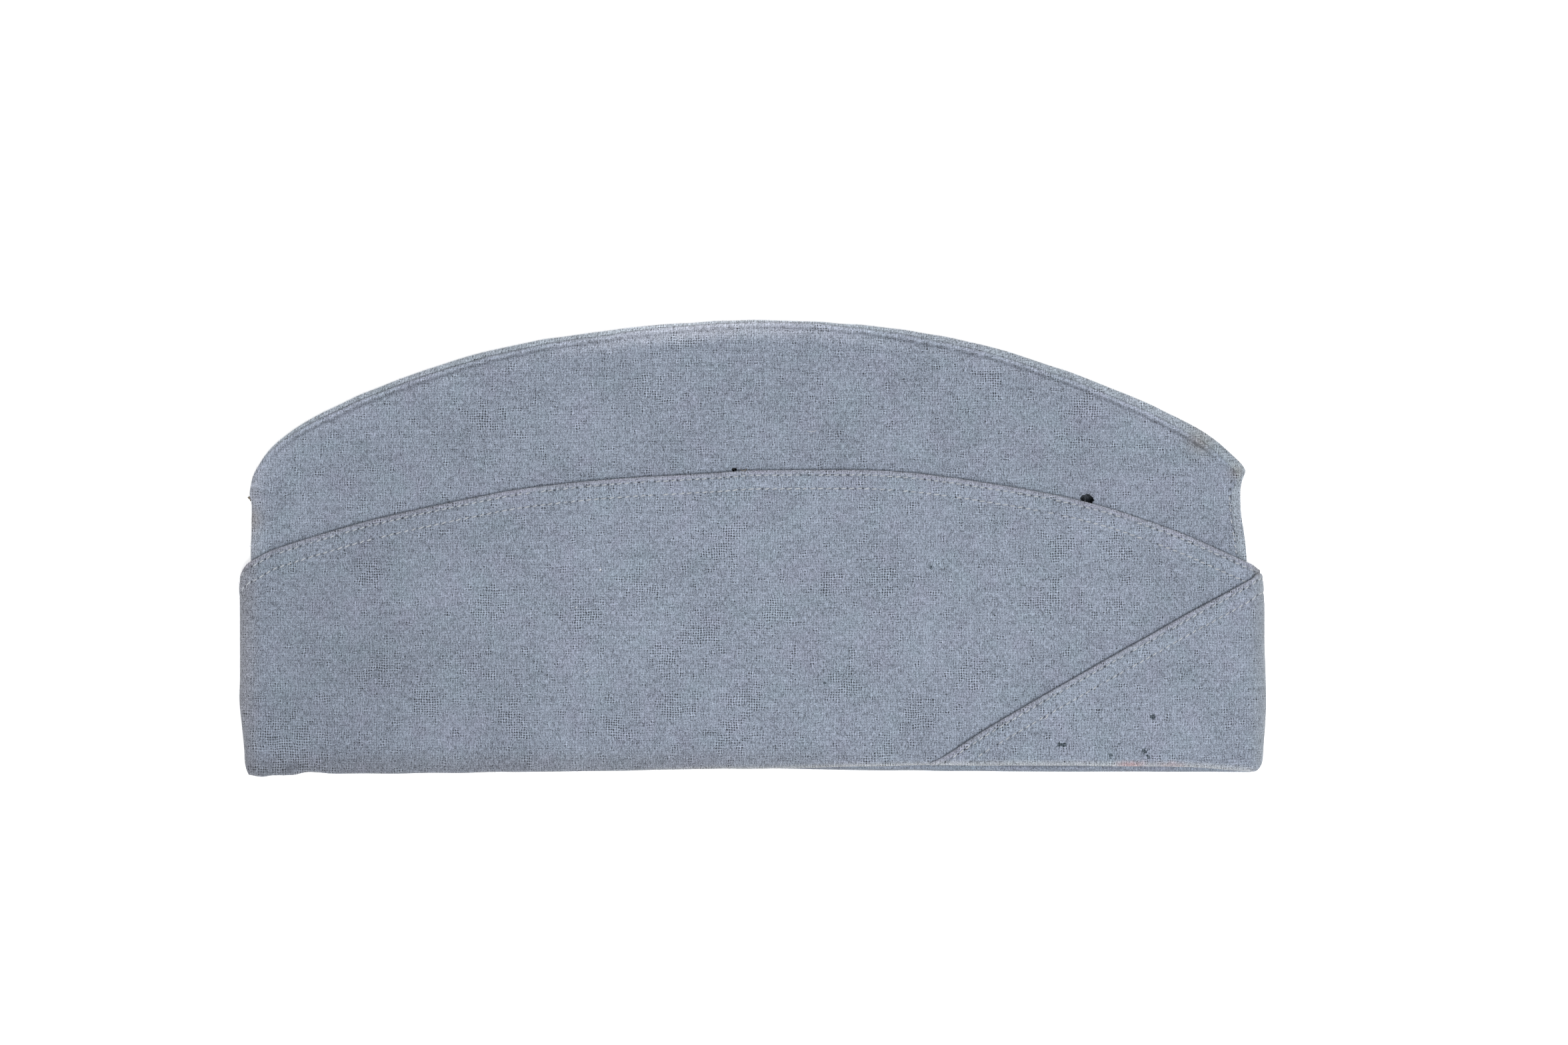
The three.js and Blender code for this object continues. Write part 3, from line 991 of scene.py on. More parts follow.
@dataclass(frozen=True)
class WoolFinish:
    """Fulled plain-woven wool whose nap has worn down to the weave in patches."""

    name: str
    detail: HemDetail | SeamDetail
    nips: tuple[Nip, ...] = ()
    streaks: float = 0.05
    # How much darker the cloth gets towards the back, over the X span in back_darkening_x.
    back_darkening: float = 0.1
    # Painted shade on the inner faces.
    inner_painted_shade: float = 0.04
    base: Colour = (0.238, 0.272, 0.336, 1.0)
    plum: Colour = (0.256, 0.262, 0.345, 1.0)
    teal: Colour = (0.218, 0.28, 0.325, 1.0)
    soil: Colour = (0.2, 0.165, 0.125, 1.0)
    rim: Colour = (0.25, 0.278, 0.308, 1.0)
    back_colour: Colour = (0.258, 0.265, 0.302, 1.0)
    nip_colour: Colour = (0.016, 0.03, 0.036, 1.0)
    pitch: float = 0.71
    bend_noise: tuple[Span, ...] = ((0.16, 1.1), (0.9, 0.34))
    gap_uneven: float = 0.9
    level: float = 1.02
    layers: tuple[NapLayer, ...] = (
        NapLayer(1.5, 0.1, lift=0.3, rough=0.6),
        NapLayer(3.2, 0.36, lift=0.15, detail=1.0),
        NapLayer(1.0, 0.24, detail=1.0, stretch=(3.0, 0.75, 1.0)),
        NapLayer(0.42, 0.09, rough=0.55),
        NapLayer(0.05, 0.06),
    )
    streak_ways: tuple[Triple, ...] = ((1.4, 0.05, 1.0), (0.06, 1.4, 1.0))
    rough: float = 0.6
    shown_scale: float = 0.23
    shown_span: Span = (-0.5, 1.2)
    weave_shown: Span = (0.16, 0.2)
    crossing_light: float = 0.4
    thread_worn: float = 0.6
    thread_middle: float = 0.45
    gap_weak: float = 0.3
    gap_worn: float = 0.75
    gap_middle: float = 0.2
    gap_depth: float = 0.3
    patch_scale: float = 0.3
    patch_ragged: float = 0.8
    patch_span: Span = (0.35, 0.8)
    cluster_scale: float = 0.55
    cluster_span: Span = (0.75, 1.2)
    cluster_worn: float = 0.3
    tint_scale: float = 0.09
    tint_span: Span = (0.0, 1.2)
    tint: float = 0.3
    # How steep faces are painted: how steep they must be, how much lighter, and how far towards the rim
    # colour, as painted light on the folds and edges.
    rim_span: Span = (0.2, 0.9)
    rim_painted_light: float = 0.15
    rim_painted_tint: float = 0.6
    back_darkening_x: Span = (-30.0, -115.0)
    back_x: Span = (-136.0, -142.5)
    back_tint: float = 0.8
    inner_offset: float = 40.0
    darkest: float = 0.15
    roughness: float = 0.94
    worn_gloss: float = 0.1
    nip_stir: Span = (0.9, 1.5)
    nip_ragged: float = 0.9
    nip_core: float = 0.55
    nip_thread: float = 0.45
    bump: float = 0.7
    depth: float = 0.00028

    def material(self) -> bpy.types.Material:
        """The finish as a material.

        Returns:
            The material.
        """
        book = NodeBook(self.name)
        u, v, inside = book.parts(book.mark("cloth"))
        flat = book.joined(u, v, inside * self.inner_offset)
        wear, soil, near = book.parts(book.mark("wear"))
        x, _, _ = book.parts(book.place())
        weave = self.weave(book, flat)
        worn = self.worn(book, flat, wear) * (1 - inside)
        light, height = self.nap(book, flat, weave, worn)
        # Painted light: steep faces are made lighter and tinted towards the rim colour.
        rim = book.upright().rise(*self.rim_span)
        light = light * (1 - self.back_darkening * x.rise(*self.back_darkening_x)) * (1 + self.rim_painted_light * rim)
        colour = book.blend(self.rim_painted_tint * rim, self.tinted(book, flat), self.rim)
        colour = book.blend(self.back_tint * x.rise(*self.back_x), colour, self.back_colour)
        colour = book.blend(soil, colour, self.soil)
        surface = self.detail.add(book, Surface(colour, light, height))
        colour = self.nipped(book, surface.colour, near, weave)
        # Inner faces are painted darker, as painted shade inside the cap.
        light = (surface.light * (1 - self.inner_painted_shade * inside)).larger(self.darkest)
        sockets = {
            "Base Color": book.shade(light, colour),
            "Roughness": (self.roughness - self.worn_gloss * worn * weave.thread).held(),
            "Specular IOR Level": 0.18,
            "Sheen Weight": 0.16,
            "Sheen Roughness": 0.5,
        }
        return book.close(sockets, surface.height, self.bump, self.depth)

    def weave(self, book: NodeBook, flat: Socket) -> Weave:
        """The plain weave, bent a little as worn cloth is.

        Args:
            book: The material's nodes.
            flat: The place on the cloth.

        Returns:
            The weave.
        """
        bent = flat
        for scale, reach in self.bend_noise:
            bent = book.stirred(bent, scale, reach)
        x, y, _ = book.parts(bent)
        column, row = x / self.pitch, y / self.pitch
        warp, weft = (column * math.pi).sine(), (row * math.pi).sine()
        warp_high, weft_high = warp * warp, weft * weft
        over = 0.5 + 0.5 * warp * weft
        gap = (1 - warp_high) * (1 - weft_high)
        return Weave(
            thread=warp_high * over + weft_high * (1 - over),
            gap=gap * (1 + self.gap_uneven * book.cell((column + 0.5).whole(), (row + 0.5).whole())),
            crossing=book.cell(column.whole(), row.whole()),
        )

    def worn(self, book: NodeBook, flat: Socket, wear: Value) -> Value:
        """How bare the weave is: ragged patches, and small clusters of crossings all over.

        Args:
            book: The material's nodes.
            flat: The place on the cloth.
            wear: The patches before their edges are made ragged.

        Returns:
            The bareness, from 0 to 1.
        """
        ragged = self.patch_ragged * book.noise(flat, self.patch_scale, rough=self.rough)
        patches = (wear + ragged).rise(*self.patch_span)
        clusters = book.noise(flat, self.cluster_scale, rough=self.rough).rise(*self.cluster_span)
        return patches.larger(self.cluster_worn * clusters)

    def nap(self, book: NodeBook, flat: Socket, weave: Weave, worn: Value) -> tuple[Value, Value]:
        """The speckled nap with as much of the weave as shows through it.

        Args:
            book: The material's nodes.
            flat: The place on the cloth.
            weave: The weave under it.
            worn: How bare the weave is.

        Returns:
            How light the cloth is, and its relief.
        """
        least, swing = self.weave_shown
        uneven = book.noise(flat, self.shown_scale, rough=self.rough)
        weak = least + swing * uneven.rise(*self.shown_span)
        shown = weak + self.thread_worn * worn
        light = self.level + self.crossing_light * weave.crossing * weave.thread
        light = light + (weave.thread - self.thread_middle) * shown
        light = light - (weave.gap - self.gap_middle) * (self.gap_weak * weak + self.gap_worn * worn)
        height = weave.thread * shown - self.gap_depth * weave.gap * worn
        for layer in (*self.layers, *(NapLayer(1.0, self.streaks, stretch=way) for way in self.streak_ways)):
            noise = layer.noise(book, flat)
            light = light + layer.light * noise
            height = height + layer.lift * noise
        return light, height

    def tinted(self, book: NodeBook, flat: Socket) -> Socket:
        """The wool's colour, which leans to plum in some places and to teal in others.

        Args:
            book: The material's nodes.
            flat: The place on the cloth.

        Returns:
            The colour.
        """
        lean = book.noise(flat, self.tint_scale, rough=self.rough)
        colour = book.blend(self.tint * lean.rise(*self.tint_span), self.base, self.plum)
        return book.blend(self.tint * (-lean).rise(*self.tint_span), colour, self.teal)

    def nipped(self, book: NodeBook, colour: Socket, near: Value, weave: Weave) -> Socket:
        """The colour with the nips' dark places, which break up along the threads.

        Args:
            book: The material's nodes.
            colour: The cloth's colour.
            near: Where the cloth is on the near side.
            weave: The cloth's weave.

        Returns:
            The colour.
        """
        if not self.nips:
            return colour
        x, y, _ = book.parts(book.stirred(book.place(), *self.nip_stir))
        for nip in self.nips:
            across, up = x - nip.x, y - nip.y
            distance = (across * across + up * up) ** 0.5
            eaten = distance + self.nip_ragged * nip.reach * weave.crossing
            core = eaten.rise(nip.reach, self.nip_core * nip.reach)
            colour = book.blend(core * near * (1 - self.nip_thread * weave.thread), colour, self.nip_colour)
        return colour


@dataclass(frozen=True)
class ThreadFinish:
    """Thread or loose fibre, twisted and a little soiled."""

    name: str
    base: Colour = (0.51, 0.54, 0.58, 1.0)
    shadow: Colour = (0.32, 0.34, 0.38, 1.0)
    twists: float = 9.0
    strands: float = 2.0
    shadow_share: float = 0.35
    twist_shadow: float = 0.25
    uneven_shadow: float = 0.4
    uneven_scale: float = 0.7
    roughness: float = 0.8
    twist_roughness: float = 0.1
    sheen: float = 0.1
    bump: float = 0.5
    depth: float = 0.00006

    def material(self) -> bpy.types.Material:
        """The finish as a material.

        Returns:
            The material.
        """
        book = NodeBook(self.name)
        along, turn, _ = book.parts(book.mark("cloth"))
        twist = ((along * self.twists + turn) * self.strands).sine()
        uneven = book.noise(book.place(), self.uneven_scale)
        share = self.shadow_share + self.twist_shadow * twist + self.uneven_shadow * uneven
        colour = book.blend(share.held(), self.base, self.shadow)
        rough = (self.roughness + self.twist_roughness * twist).held()
        sockets = {"Base Color": colour, "Roughness": rough, "Sheen Weight": self.sheen}
        return book.close(sockets, twist, self.bump, self.depth)


@dataclass(frozen=True)
class WornPatches:
    """Where the nap is worn down to the weave, and where the cloth is soiled: rows of X, Y and reach."""

    near: tuple[Triple, ...] = (
        (-104.1, -33.9, 3.6), (-90.3, -42.5, 3.8), (-77.9, -32.4, 3.4), (-66.3, -47.8, 4.2),
        (-37.6, -48.3, 3.6), (-128.5, -56.9, 8.0), (-8.6, 0.6, 3.4), (-5.2, 4.9, 3.0),
        (-46.3, -18.2, 3.6), (-30.1, -10.5, 3.2), (-73.0, -14.8, 3.4), (-105.6, -6.7, 3.2),
        (-12.9, -23.4, 4.4), (-1.3, -42.5, 4.2), (-21.5, -44.4, 3.6), (-23.4, -29.6, 3.4),
        (-5.2, -52.1, 3.6), (36.9, -6.0, 3.4), (21.2, -9.0, 3.2), (86.9, 1.1, 3.6),
        (101.5, 0.7, 3.0), (6.6, -18.7, 3.2), (81.8, -14.2, 3.4), (61.4, -34.8, 3.4),
        (36.9, -57.9, 3.4), (102.4, -17.2, 3.0), (25.1, -37.8, 3.4), (45.7, -45.7, 3.4),
        (-28.1, 44.0, 3.4), (-19.5, 56.4, 3.0), (-74.9, 35.4, 3.6), (66.3, 47.2, 3.4),
        (93.6, 40.4, 3.2), (89.7, 30.5, 3.0),
    )
    soiled: tuple[Triple, ...] = (
        (125.8, 30.5, 3.0), (136.2, 21.7, 1.8), (-140.8, 8.0, 2.6), (141.9, -5.4, 1.2),
    )
    soil_strength: float = 0.45
    spread: float = 1.3
    far_count: int = 30
    far_seed: int = 41
    far_low: Triple = (-130.0, -58.0, 2.8)
    far_high: Triple = (130.0, 50.0, 4.6)

    def far(self) -> Array:
        """Patches for the side that the cap lies on, drawn at random."""
        draw = np.random.default_rng(self.far_seed)
        return draw.uniform(self.far_low, self.far_high, (self.far_count, 3))

    def cover(self, points: Array, patches: Sequence[Sequence[float]]) -> Array:
        """How fully a set of patches covers points.

        Args:
            points: The points.
            patches: X, Y and reach of each patch.

        Returns:
            Shares from 0 to 1.
        """
        most = np.zeros(len(points))
        for x, y, reach in patches:
            distance = np.hypot(points[:, 0] - x, points[:, 1] - y)
            most = np.maximum(most, bell(distance, 0.0, self.spread * reach))
        return most

    def marks(self, points: Array, near: Array) -> Array:
        """What the finish reads on each vertex.

        Args:
            points: The vertices.
            near: 1 on the near side and 0 on the far side, for each.

        Returns:
            Wear, soil and near, for each.
        """
        worn = mix(self.cover(points, self.far()), self.cover(points, self.near), near)
        soiled = self.soil_strength * self.cover(points, self.soiled) * near
        return np.stack([worn, soiled, near], axis=1)


WORN = WornPatches()


@dataclass(frozen=True)
class SeamPath:
    """The crown's sewn outline, from the mouth at the back over the ridge to the mouth at the front."""

    step: float = 0.25
    soften: float = 1.0
    turn_width: float = 4.0
    wander: float = 0.12
    wander_noise: SoftNoise = SoftNoise(21, 6.0)
    span_steps: int = 40
    hem_lift: float = 2.9
    knot: Span = (2.6, 1.4)

    def ridge_curve(self) -> Array:
        """A smooth curve through the ridge's rows, evenly drawn out between uneven rows.

        Returns:
            Points of X and Y.
        """
        rows = np.array(RIDGE.rows) + (0.0, RIDGE.base)
        held = np.stack([2 * rows[0] - rows[1], *rows, 2 * rows[-1] - rows[-2]])
        t = np.linspace(0.0, 1.0, self.span_steps, endpoint=False)[:, None]
        spans = []
        for a, b, c, d in zip(held, held[1:], held[2:], held[3:]):
            before, here, after = (math.sqrt(np.linalg.norm(q - p)) for p, q in ((a, b), (b, c), (c, d)))
            leaving = ((b - a) / before - (c - a) / (before + here) + (c - b) / here) * here
            arriving = ((c - b) / here - (d - b) / (here + after) + (d - c) / after) * here
            start = (1 - t) ** 2 * ((1 + 2 * t) * b + t * leaving)
            spans.append(start + t**2 * ((3 - 2 * t) * c - (1 - t) * arriving))
        return np.concatenate([*spans, rows[-1:]])

    def points(self) -> Array:
        """The outline with its corners softened and a slight wander, at an even step.

        Returns:
            Points of X and Y.
        """
        ridge = self.ridge_curve()
        foot = SHAPE.mouth_y + self.hem_lift
        back = np.arange(foot, ridge[0, 1], 1.0)
        front = np.arange(ridge[-1, 1], foot, -1.0)[1:]
        jutting = ease(ridge[0, 1] - back, *self.knot)
        line = np.concatenate(
            [
                np.stack([mix(SHAPE.crown_back, ridge[0, 0], jutting), back], axis=1),
                ridge,
                np.stack([SHAPE.crown_front(front), front], axis=1),
            ]
        )
        even = resample(line, np.arange(0.0, run_length(line)[-1], self.step))
        smooth = self.softened(even, self.soften)
        wave = self.wander_noise.at(run_length(smooth))
        return smooth + self.inward(smooth) * (self.wander * wave)[:, None]

    def softened(self, points: Array, width: float) -> Array:
        """Points each moved to the mean of those about it.

        Args:
            points: Points of X and Y at an even step.
            width: How far the mean reaches to each side.

        Returns:
            As many points.
        """
        reach = round(3 * width / self.step)
        kernel = bell(np.arange(-reach, reach + 1) * self.step, 0.0, width)
        padded = np.pad(points, ((reach, reach), (0, 0)), mode="reflect", reflect_type="odd")
        kernel = kernel / kernel.sum()
        return np.stack([np.convolve(column, kernel, "valid") for column in padded.T], axis=1)

    def inward(self, points: Array) -> Array:
        """The directions across the outline, towards the panel, turning gently at its corners."""
        along = unit(np.gradient(self.softened(points, self.turn_width), axis=0))
        return np.stack([along[:, 1], -along[:, 0]], axis=1)


@dataclass(frozen=True)
class StitchRow:
    """A row of stitches: a line on the cloth, the way out of it, and where each point lies along the row."""

    points: Array
    outward: Array
    along: Array
    pitch: float = 2.15
    share: float = 1.0
    lift: float = 0.07
    sunk: float = 0.1


class Side(Enum):
    """The two sides of the cap as it lies."""

    NEAR = "near"
    FAR = "far"


@dataclass(frozen=True)
class MothHole:
    """A ragged hole through the cloth, as a middle, two reaches and a lobe to one side."""

    x: float
    y: float
    half_long: float
    half_high: float
    lobe_turn: float
    seed: int
    sides: int = 26
    ragged: float = 0.14
    lobe: float = 0.28
    lobe_width: float = 0.35
    half_depth: float = 2.4

    def outline(self) -> Array:
        """The hole's edge.

        Returns:
            Points of X and Y.
        """
        turn = np.linspace(0.0, 2 * np.pi, self.sides, endpoint=False)
        uneven = np.random.default_rng(self.seed).uniform(-self.ragged, self.ragged, self.sides)
        reach = 1.0 + uneven + self.lobe * bell(np.cos(turn - self.lobe_turn), 1.0, self.lobe_width)
        x = self.x + self.half_long * reach * np.cos(turn)
        y = self.y + self.half_high * reach * np.sin(turn)
        return np.stack([x, y], axis=1)

    def cutter(self, level: float) -> Piece:
        """A column with the hole's edge, through the cloth at a level.

        Args:
            level: Z of the cloth's outer face.

        Returns:
            The column.
        """
        edge = self.outline()
        heights = (level - self.half_depth, level + self.half_depth)
        rings = np.stack([np.column_stack([edge, np.full(self.sides, z)]) for z in heights])
        return ClothSweep(rings, strips=1).to_object("hole_cutter")


@dataclass(frozen=True)
class SeamProfile:
    """A value that changes along the seam, through rows of (distance along it, value)."""

    rows: tuple[Span, ...]
    eased: bool = False

    def at(self, along: Array) -> Array:
        """The value at distances along the seam."""
        value = np.interp(along, *np.array(self.rows).T)
        return ease(value) if self.eased else value


@dataclass
class Crown:
    """The crown's two sides. The left one rolls over their seam as a narrow strip beside a corded welt."""

    seam_half: float = 1.35
    roll_cloth: float = 0.9
    seam_cloth: float = 0.5
    lip: float = 0.5
    lip_lap: float = 0.45
    lip_dip: float = 0.62
    lip_taper: float = 0.6
    back_lip: float = 0.12
    edge_cloth: float = 0.1
    edge_lift: float = 0.12
    edge_reach: float = 1.8
    inner_drop: float = 0.6
    welt_width: float = 1.3
    welt_rise: float = 0.46
    welt_fullness: float = 0.8
    wrap_start: float = 0.03
    wrap_cloth: float = 0.45
    wrap_drop: float = 0.85
    wrap_inset: float = 0.2
    ditch_depth: float = 0.36
    ditch_width: float = 0.45
    soft_depth: float = 0.12
    soft_width: float = 1.6
    soft_span: Span = (1.2, 2.0)
    far_ditch: float = 3.0
    roll_reach: float = 1.0
    lining_skip: int = 3
    least_inside: float = 1e-4
    station_step: float = 0.8
    first_station: float = 1.5
    steep_share: float = 0.6
    panel_rows: int = 34
    panel_growth: float = 1.35
    mouth_round: float = 0.35
    strip_wave: float = 0.12
    least_strip: float = 0.2
    strip_noise: SoftNoise = SoftNoise(22, 9.0)
    strip_width: SeamProfile = SeamProfile(
        (
            (0.0, 0.25), (80.0, 0.25), (92.0, 0.6), (110.0, 1.3), (152.0, 1.6), (193.0, 1.2),
            (236.0, 0.4), (250.0, 0.45), (283.0, 1.6), (336.0, 2.0), (374.0, 2.6), (465.0, 2.6),
        )
    )
    welt_share: SeamProfile = SeamProfile(((80.0, 0.0), (94.0, 1.0), (366.0, 1.0), (380.0, 0.0)), eased=True)
    ditch_place: SeamProfile = SeamProfile(((366.0, 1.5), (380.0, 0.35)))
    ditch_share: SeamProfile = SeamProfile(
        ((80.0, 0.0), (94.0, 1.0), (366.0, 1.0), (380.0, 0.45)), eased=True
    )
    wrap_share: SeamProfile = SeamProfile(((80.0, 1.0), (94.0, 0.0)), eased=True)
    mouth_x: SeamProfile = SeamProfile(((0.0, -140.0), (73.0, -68.0), (380.0, 54.0), (465.0, 138.0)))
    seam_rows: tuple[float, ...] = (
        0.0, 0.12, 0.3, 0.5, 0.75, 1.0, 1.2, 1.38, 1.55, 1.72, 1.9, 2.2, 2.7, 3.4, 4.3,
    )
    inner_rows: tuple[float, ...] = (0.0, 0.6, 1.6, 3.0, 4.3)
    far_rows: tuple[float, ...] = (1.6, 1.95, 2.3, 2.55, 2.75, 2.9, 3.0, 3.1, 3.25, 3.45, 3.8, 4.6, 5.6)
    holes: tuple[MothHole, ...] = (
        MothHole(93.3, 13.9, 1.72, 1.25, -0.7, 61),
        MothHole(-4.9, 22.0, 0.65, 0.5, 0.0, 62, sides=14),
    )
    near_face_depth: float = 0.6
    far_face_depth: float = 0.5
    strip_below: float = 0.3
    strip_beyond: float = 0.4
    flat: Span = (0.281, 0.127)
    flat_area: float = 0.0306
    front_row: Span = (384.0, 0.35)
    rim_steps: int = 12
    strip_steps: int = 5

    def __post_init__(self) -> None:
        """Lay the stations out along the seam."""
        self.outline = SeamPath().points()
        self.runs = run_length(self.outline)
        length = self.runs[-1] - 2 * self.first_station
        self.along = self.first_station + np.linspace(0.0, length, round(length / self.station_step) + 1)
        self.heads = resample(self.outline, self.along)
        inward = SeamPath().inward(self.outline)
        columns = [np.interp(self.along, self.runs, inward[:, axis]) for axis in range(2)]
        self.inward = unit(np.stack(columns, axis=1))
        uneven = self.strip_wave * self.strip_noise.at(self.along)
        self.strip = np.maximum(self.strip_width.at(self.along) + uneven, self.least_strip)
        self.wrap = self.wrap_share.at(self.along)

    def lip_end(self) -> Array:
        """The distance from the outline at which the strip ends under the right side, at each station."""
        return self.strip + mix(self.lip, self.back_lip, self.wrap)

    def right_start(self) -> Array:
        """The distance from the outline at which the right side begins, at each station."""
        return mix(self.strip + self.lip - self.lip_lap, self.wrap_start, self.wrap)

    def edge_drop(self, distance: Array) -> Array:
        """How far a face falls away in the rounding of the sewn edge."""
        inward = np.clip(1.0 - distance / self.seam_half, 0.0, 1.0)
        return self.seam_half * (1.0 - np.sqrt(1.0 - inward**2))

    def spread(self, mouth: EdgeTable, distances: Array, shares: Array) -> tuple[Array, Array]:
        """Places along the lines that run in from each station of the seam to the mouth.

        Args:
            mouth: The lower edge of the curtain on that side.
            distances: Distances from the outline, for each station and row.
            shares: Shares of the rest of each line.

        Returns:
            X and Y of each place, and its distance from the outline.
        """
        foot_x = self.mouth_x.at(self.along)
        feet = np.stack([foot_x, mouth.at(foot_x) + SHAPE.foot_height + SHAPE.gap], axis=1)
        lines = feet - self.heads
        lengths = np.linalg.norm(lines, axis=1)
        ways = lines / lengths[:, None]
        square = np.sum(ways * self.inward, axis=1)
        runs = distances / square[:, None]
        runs = runs * np.minimum(1.0, self.steep_share * lengths / runs.max(axis=1))[:, None]
        rest = mix(runs.max(axis=1)[:, None], lengths[:, None], shares[None])
        places = np.concatenate([runs, rest], axis=1)
        spots = self.heads[:, None] + ways[:, None] * places[..., None]
        return spots, places * square[:, None]

    def panel_shares(self, rows: int) -> Array:
        """Shares of the way from the seam's rows to the mouth, closer together near the seam."""
        return (np.arange(1, rows + 1) / rows) ** self.panel_growth

    def right_rings(self) -> Array:
        """The right side's rings, from its mouth up its outer face, over the welt and back inside.

        Returns:
            Points for each station and place round the ring.
        """
        wrap = self.wrap[:, None]
        start = self.right_start()[:, None]
        outer_rows = start + np.array(self.seam_rows)[None]
        inner_rows = start + np.array(self.inner_rows)[None] + self.wrap_cloth * wrap
        outer, outer_in = self.spread(RIGHT_MOUTH, outer_rows, self.panel_shares(self.panel_rows))
        inner, inner_in = self.spread(RIGHT_MOUTH, inner_rows, self.panel_shares(self.panel_rows // 2))
        top = SHAPE.right_top(outer[..., 0], outer[..., 1]) - self.edge_drop(outer_in)
        top = top + self.seam_relief(outer_in - start)
        top = top - self.wrap_drop * wrap * (1.0 - ease(outer_in - start, 0.0, self.seam_rows[1]))
        edge_cloth = mix(self.edge_cloth, self.seam_cloth, wrap)
        thicker = ease(inner_in - start, 0.0, self.edge_reach)
        cloth = mix(edge_cloth, SHAPE.crown_cloth, thicker)
        under = SHAPE.right_top(inner[..., 0], inner[..., 1]) - cloth
        under = under - mix(1.0, self.inner_drop, thicker) * self.edge_drop(inner_in)
        under = under + np.minimum(self.seam_relief(inner_in - start), self.edge_lift)
        upper = np.concatenate([outer, top[..., None]], axis=-1)
        lower = np.concatenate([inner, under[..., None]], axis=-1)
        return np.concatenate([upper[:, ::-1], lower, self.mouth_edge(upper, lower)], axis=1)

    def mouth_edge(self, upper: Array, lower: Array) -> Array:
        """The rounded middle of the crown's raw edge at the mouth."""
        outward = unit(upper[:, -1] - upper[:, -2])
        return ((upper[:, -1] + lower[:, -1]) / 2 + self.mouth_round * outward)[:, None]

    def seam_relief(self, inside: Array) -> Array:
        """The rise of the welt and the dip of its stitched edge.

        Args:
            inside: Distances in from the strip, for each station and row.

        Returns:
            Heights over the panel's plain face.
        """
        profiles = (self.welt_share, self.ditch_share, self.ditch_place)
        welt, ditch, place = (profile.at(self.along)[:, None] for profile in profiles)
        across = np.pi * np.clip(inside / self.welt_width, 0.0, 1.0)
        lift = self.edge_lift * (1.0 - ease(inside, 0.0, self.welt_width))
        cord = self.welt_rise * np.sin(across) ** self.welt_fullness * welt
        pull = self.ditch_depth * bell(inside - place, 0.0, self.ditch_width) * ditch
        soft = self.soft_depth * bell(inside - place, 0.0, self.soft_width) * ditch
        soft = soft * ease(inside, *self.soft_span)
        return cord + lift - pull - soft

    def left_rings(self) -> Array:
        """The left side's rings, from its mouth along its underside, round the roll and back inside.

        Returns:
            Points for each station and place round the ring.
        """
        half, inner_half = self.seam_half, self.seam_half - self.roll_cloth
        end = self.lip_end()[:, None]
        wrap = self.wrap[:, None]
        strip_end = np.pi - np.arcsin(np.clip(1.0 - self.strip / half, 0.0, 1.0))[:, None]
        strip_end = mix(strip_end, np.pi / 2, wrap)
        inset = self.wrap_inset * wrap
        turns = strip_end * np.linspace(0.0, 1.0, self.rim_steps + 1)[None]
        strip_shares = np.linspace(0.0, 1.0, self.strip_steps + 1)[None, 1:]
        flat = mix(half * (1.0 - np.sin(strip_end)), end, strip_shares)
        far_rows = np.broadcast_to(np.array(self.far_rows)[None], (len(self.along), len(self.far_rows)))
        shares = self.panel_shares(self.panel_rows)
        under, under_in = self.spread(LEFT_MOUTH, far_rows, shares)
        lining_rows, lining_shares = far_rows[:, :: self.lining_skip], self.panel_shares(self.panel_rows // 2)
        inner, inner_in = self.spread(LEFT_MOUTH, lining_rows, lining_shares)
        ditch = self.ditch_share.at(self.along)[:, None] * self.ditch_depth
        base = SHAPE.left_underside(under[..., 0], under[..., 1]) + self.edge_drop(under_in)
        base = base + ditch * bell(under_in, self.far_ditch, self.ditch_width)
        cloth = mix(self.roll_cloth, SHAPE.crown_cloth, ease(inner_in, half, half + self.roll_reach))
        ceiling = SHAPE.left_underside(inner[..., 0], inner[..., 1]) + cloth
        dip = self.lip_dip * (1.0 - ease(end - flat, 0.0, self.lip_lap)) * (1.0 - wrap)
        level = half - half * np.cos(strip_end)
        lip_cloth = mix(self.roll_cloth, self.seam_cloth, ease(end - flat, self.lip_taper, 0.0))
        roll = self.at_edge(half * (1.0 - np.sin(turns)) + inset, half - half * np.cos(turns))
        strip = self.at_edge(flat + inset, level - dip)
        lip_low = self.at_edge(flat + inset, level - dip - lip_cloth)
        lining = self.at_edge(half - inner_half * np.sin(turns) + inset, half - inner_half * np.cos(turns))
        upper = np.concatenate([under, base[..., None]], axis=-1)
        lower = np.concatenate([inner, ceiling[..., None]], axis=-1)
        edge = self.mouth_edge(upper, lower)
        turned = [lip_low[:, ::-1], lining[:, ::-1]]
        return np.concatenate([upper[:, ::-1], roll, strip, *turned, lower, edge], axis=1)

    def at_edge(self, distances: Array, heights: Array) -> Array:
        """Points close to the outline.

        Args:
            distances: Distances in from the outline, for each station and row.
            heights: Heights over the left side's plain underside.

        Returns:
            Points for each station and row.
        """
        spots, _ = self.spread(LEFT_MOUTH, np.maximum(distances, self.least_inside), np.zeros(0))
        base = SHAPE.left_underside(spots[..., 0], spots[..., 1])
        return np.concatenate([spots, (base + heights)[..., None]], axis=-1)

    def build(self) -> tuple[Piece, Piece]:
        """Make the two sides, with the holes that go through the right one.

        Returns:
            The left side and the right side.
        """
        left = ClothSweep(self.left_rings()).to_object("crown_left_cloth")
        right = ClothSweep(self.right_rings()).to_object("crown_right_cloth")
        for hole in self.holes:
            self.cut(right, hole)
        self.mark_cloth(left, Side.FAR)
        self.mark_cloth(right, Side.NEAR)
        return left, right

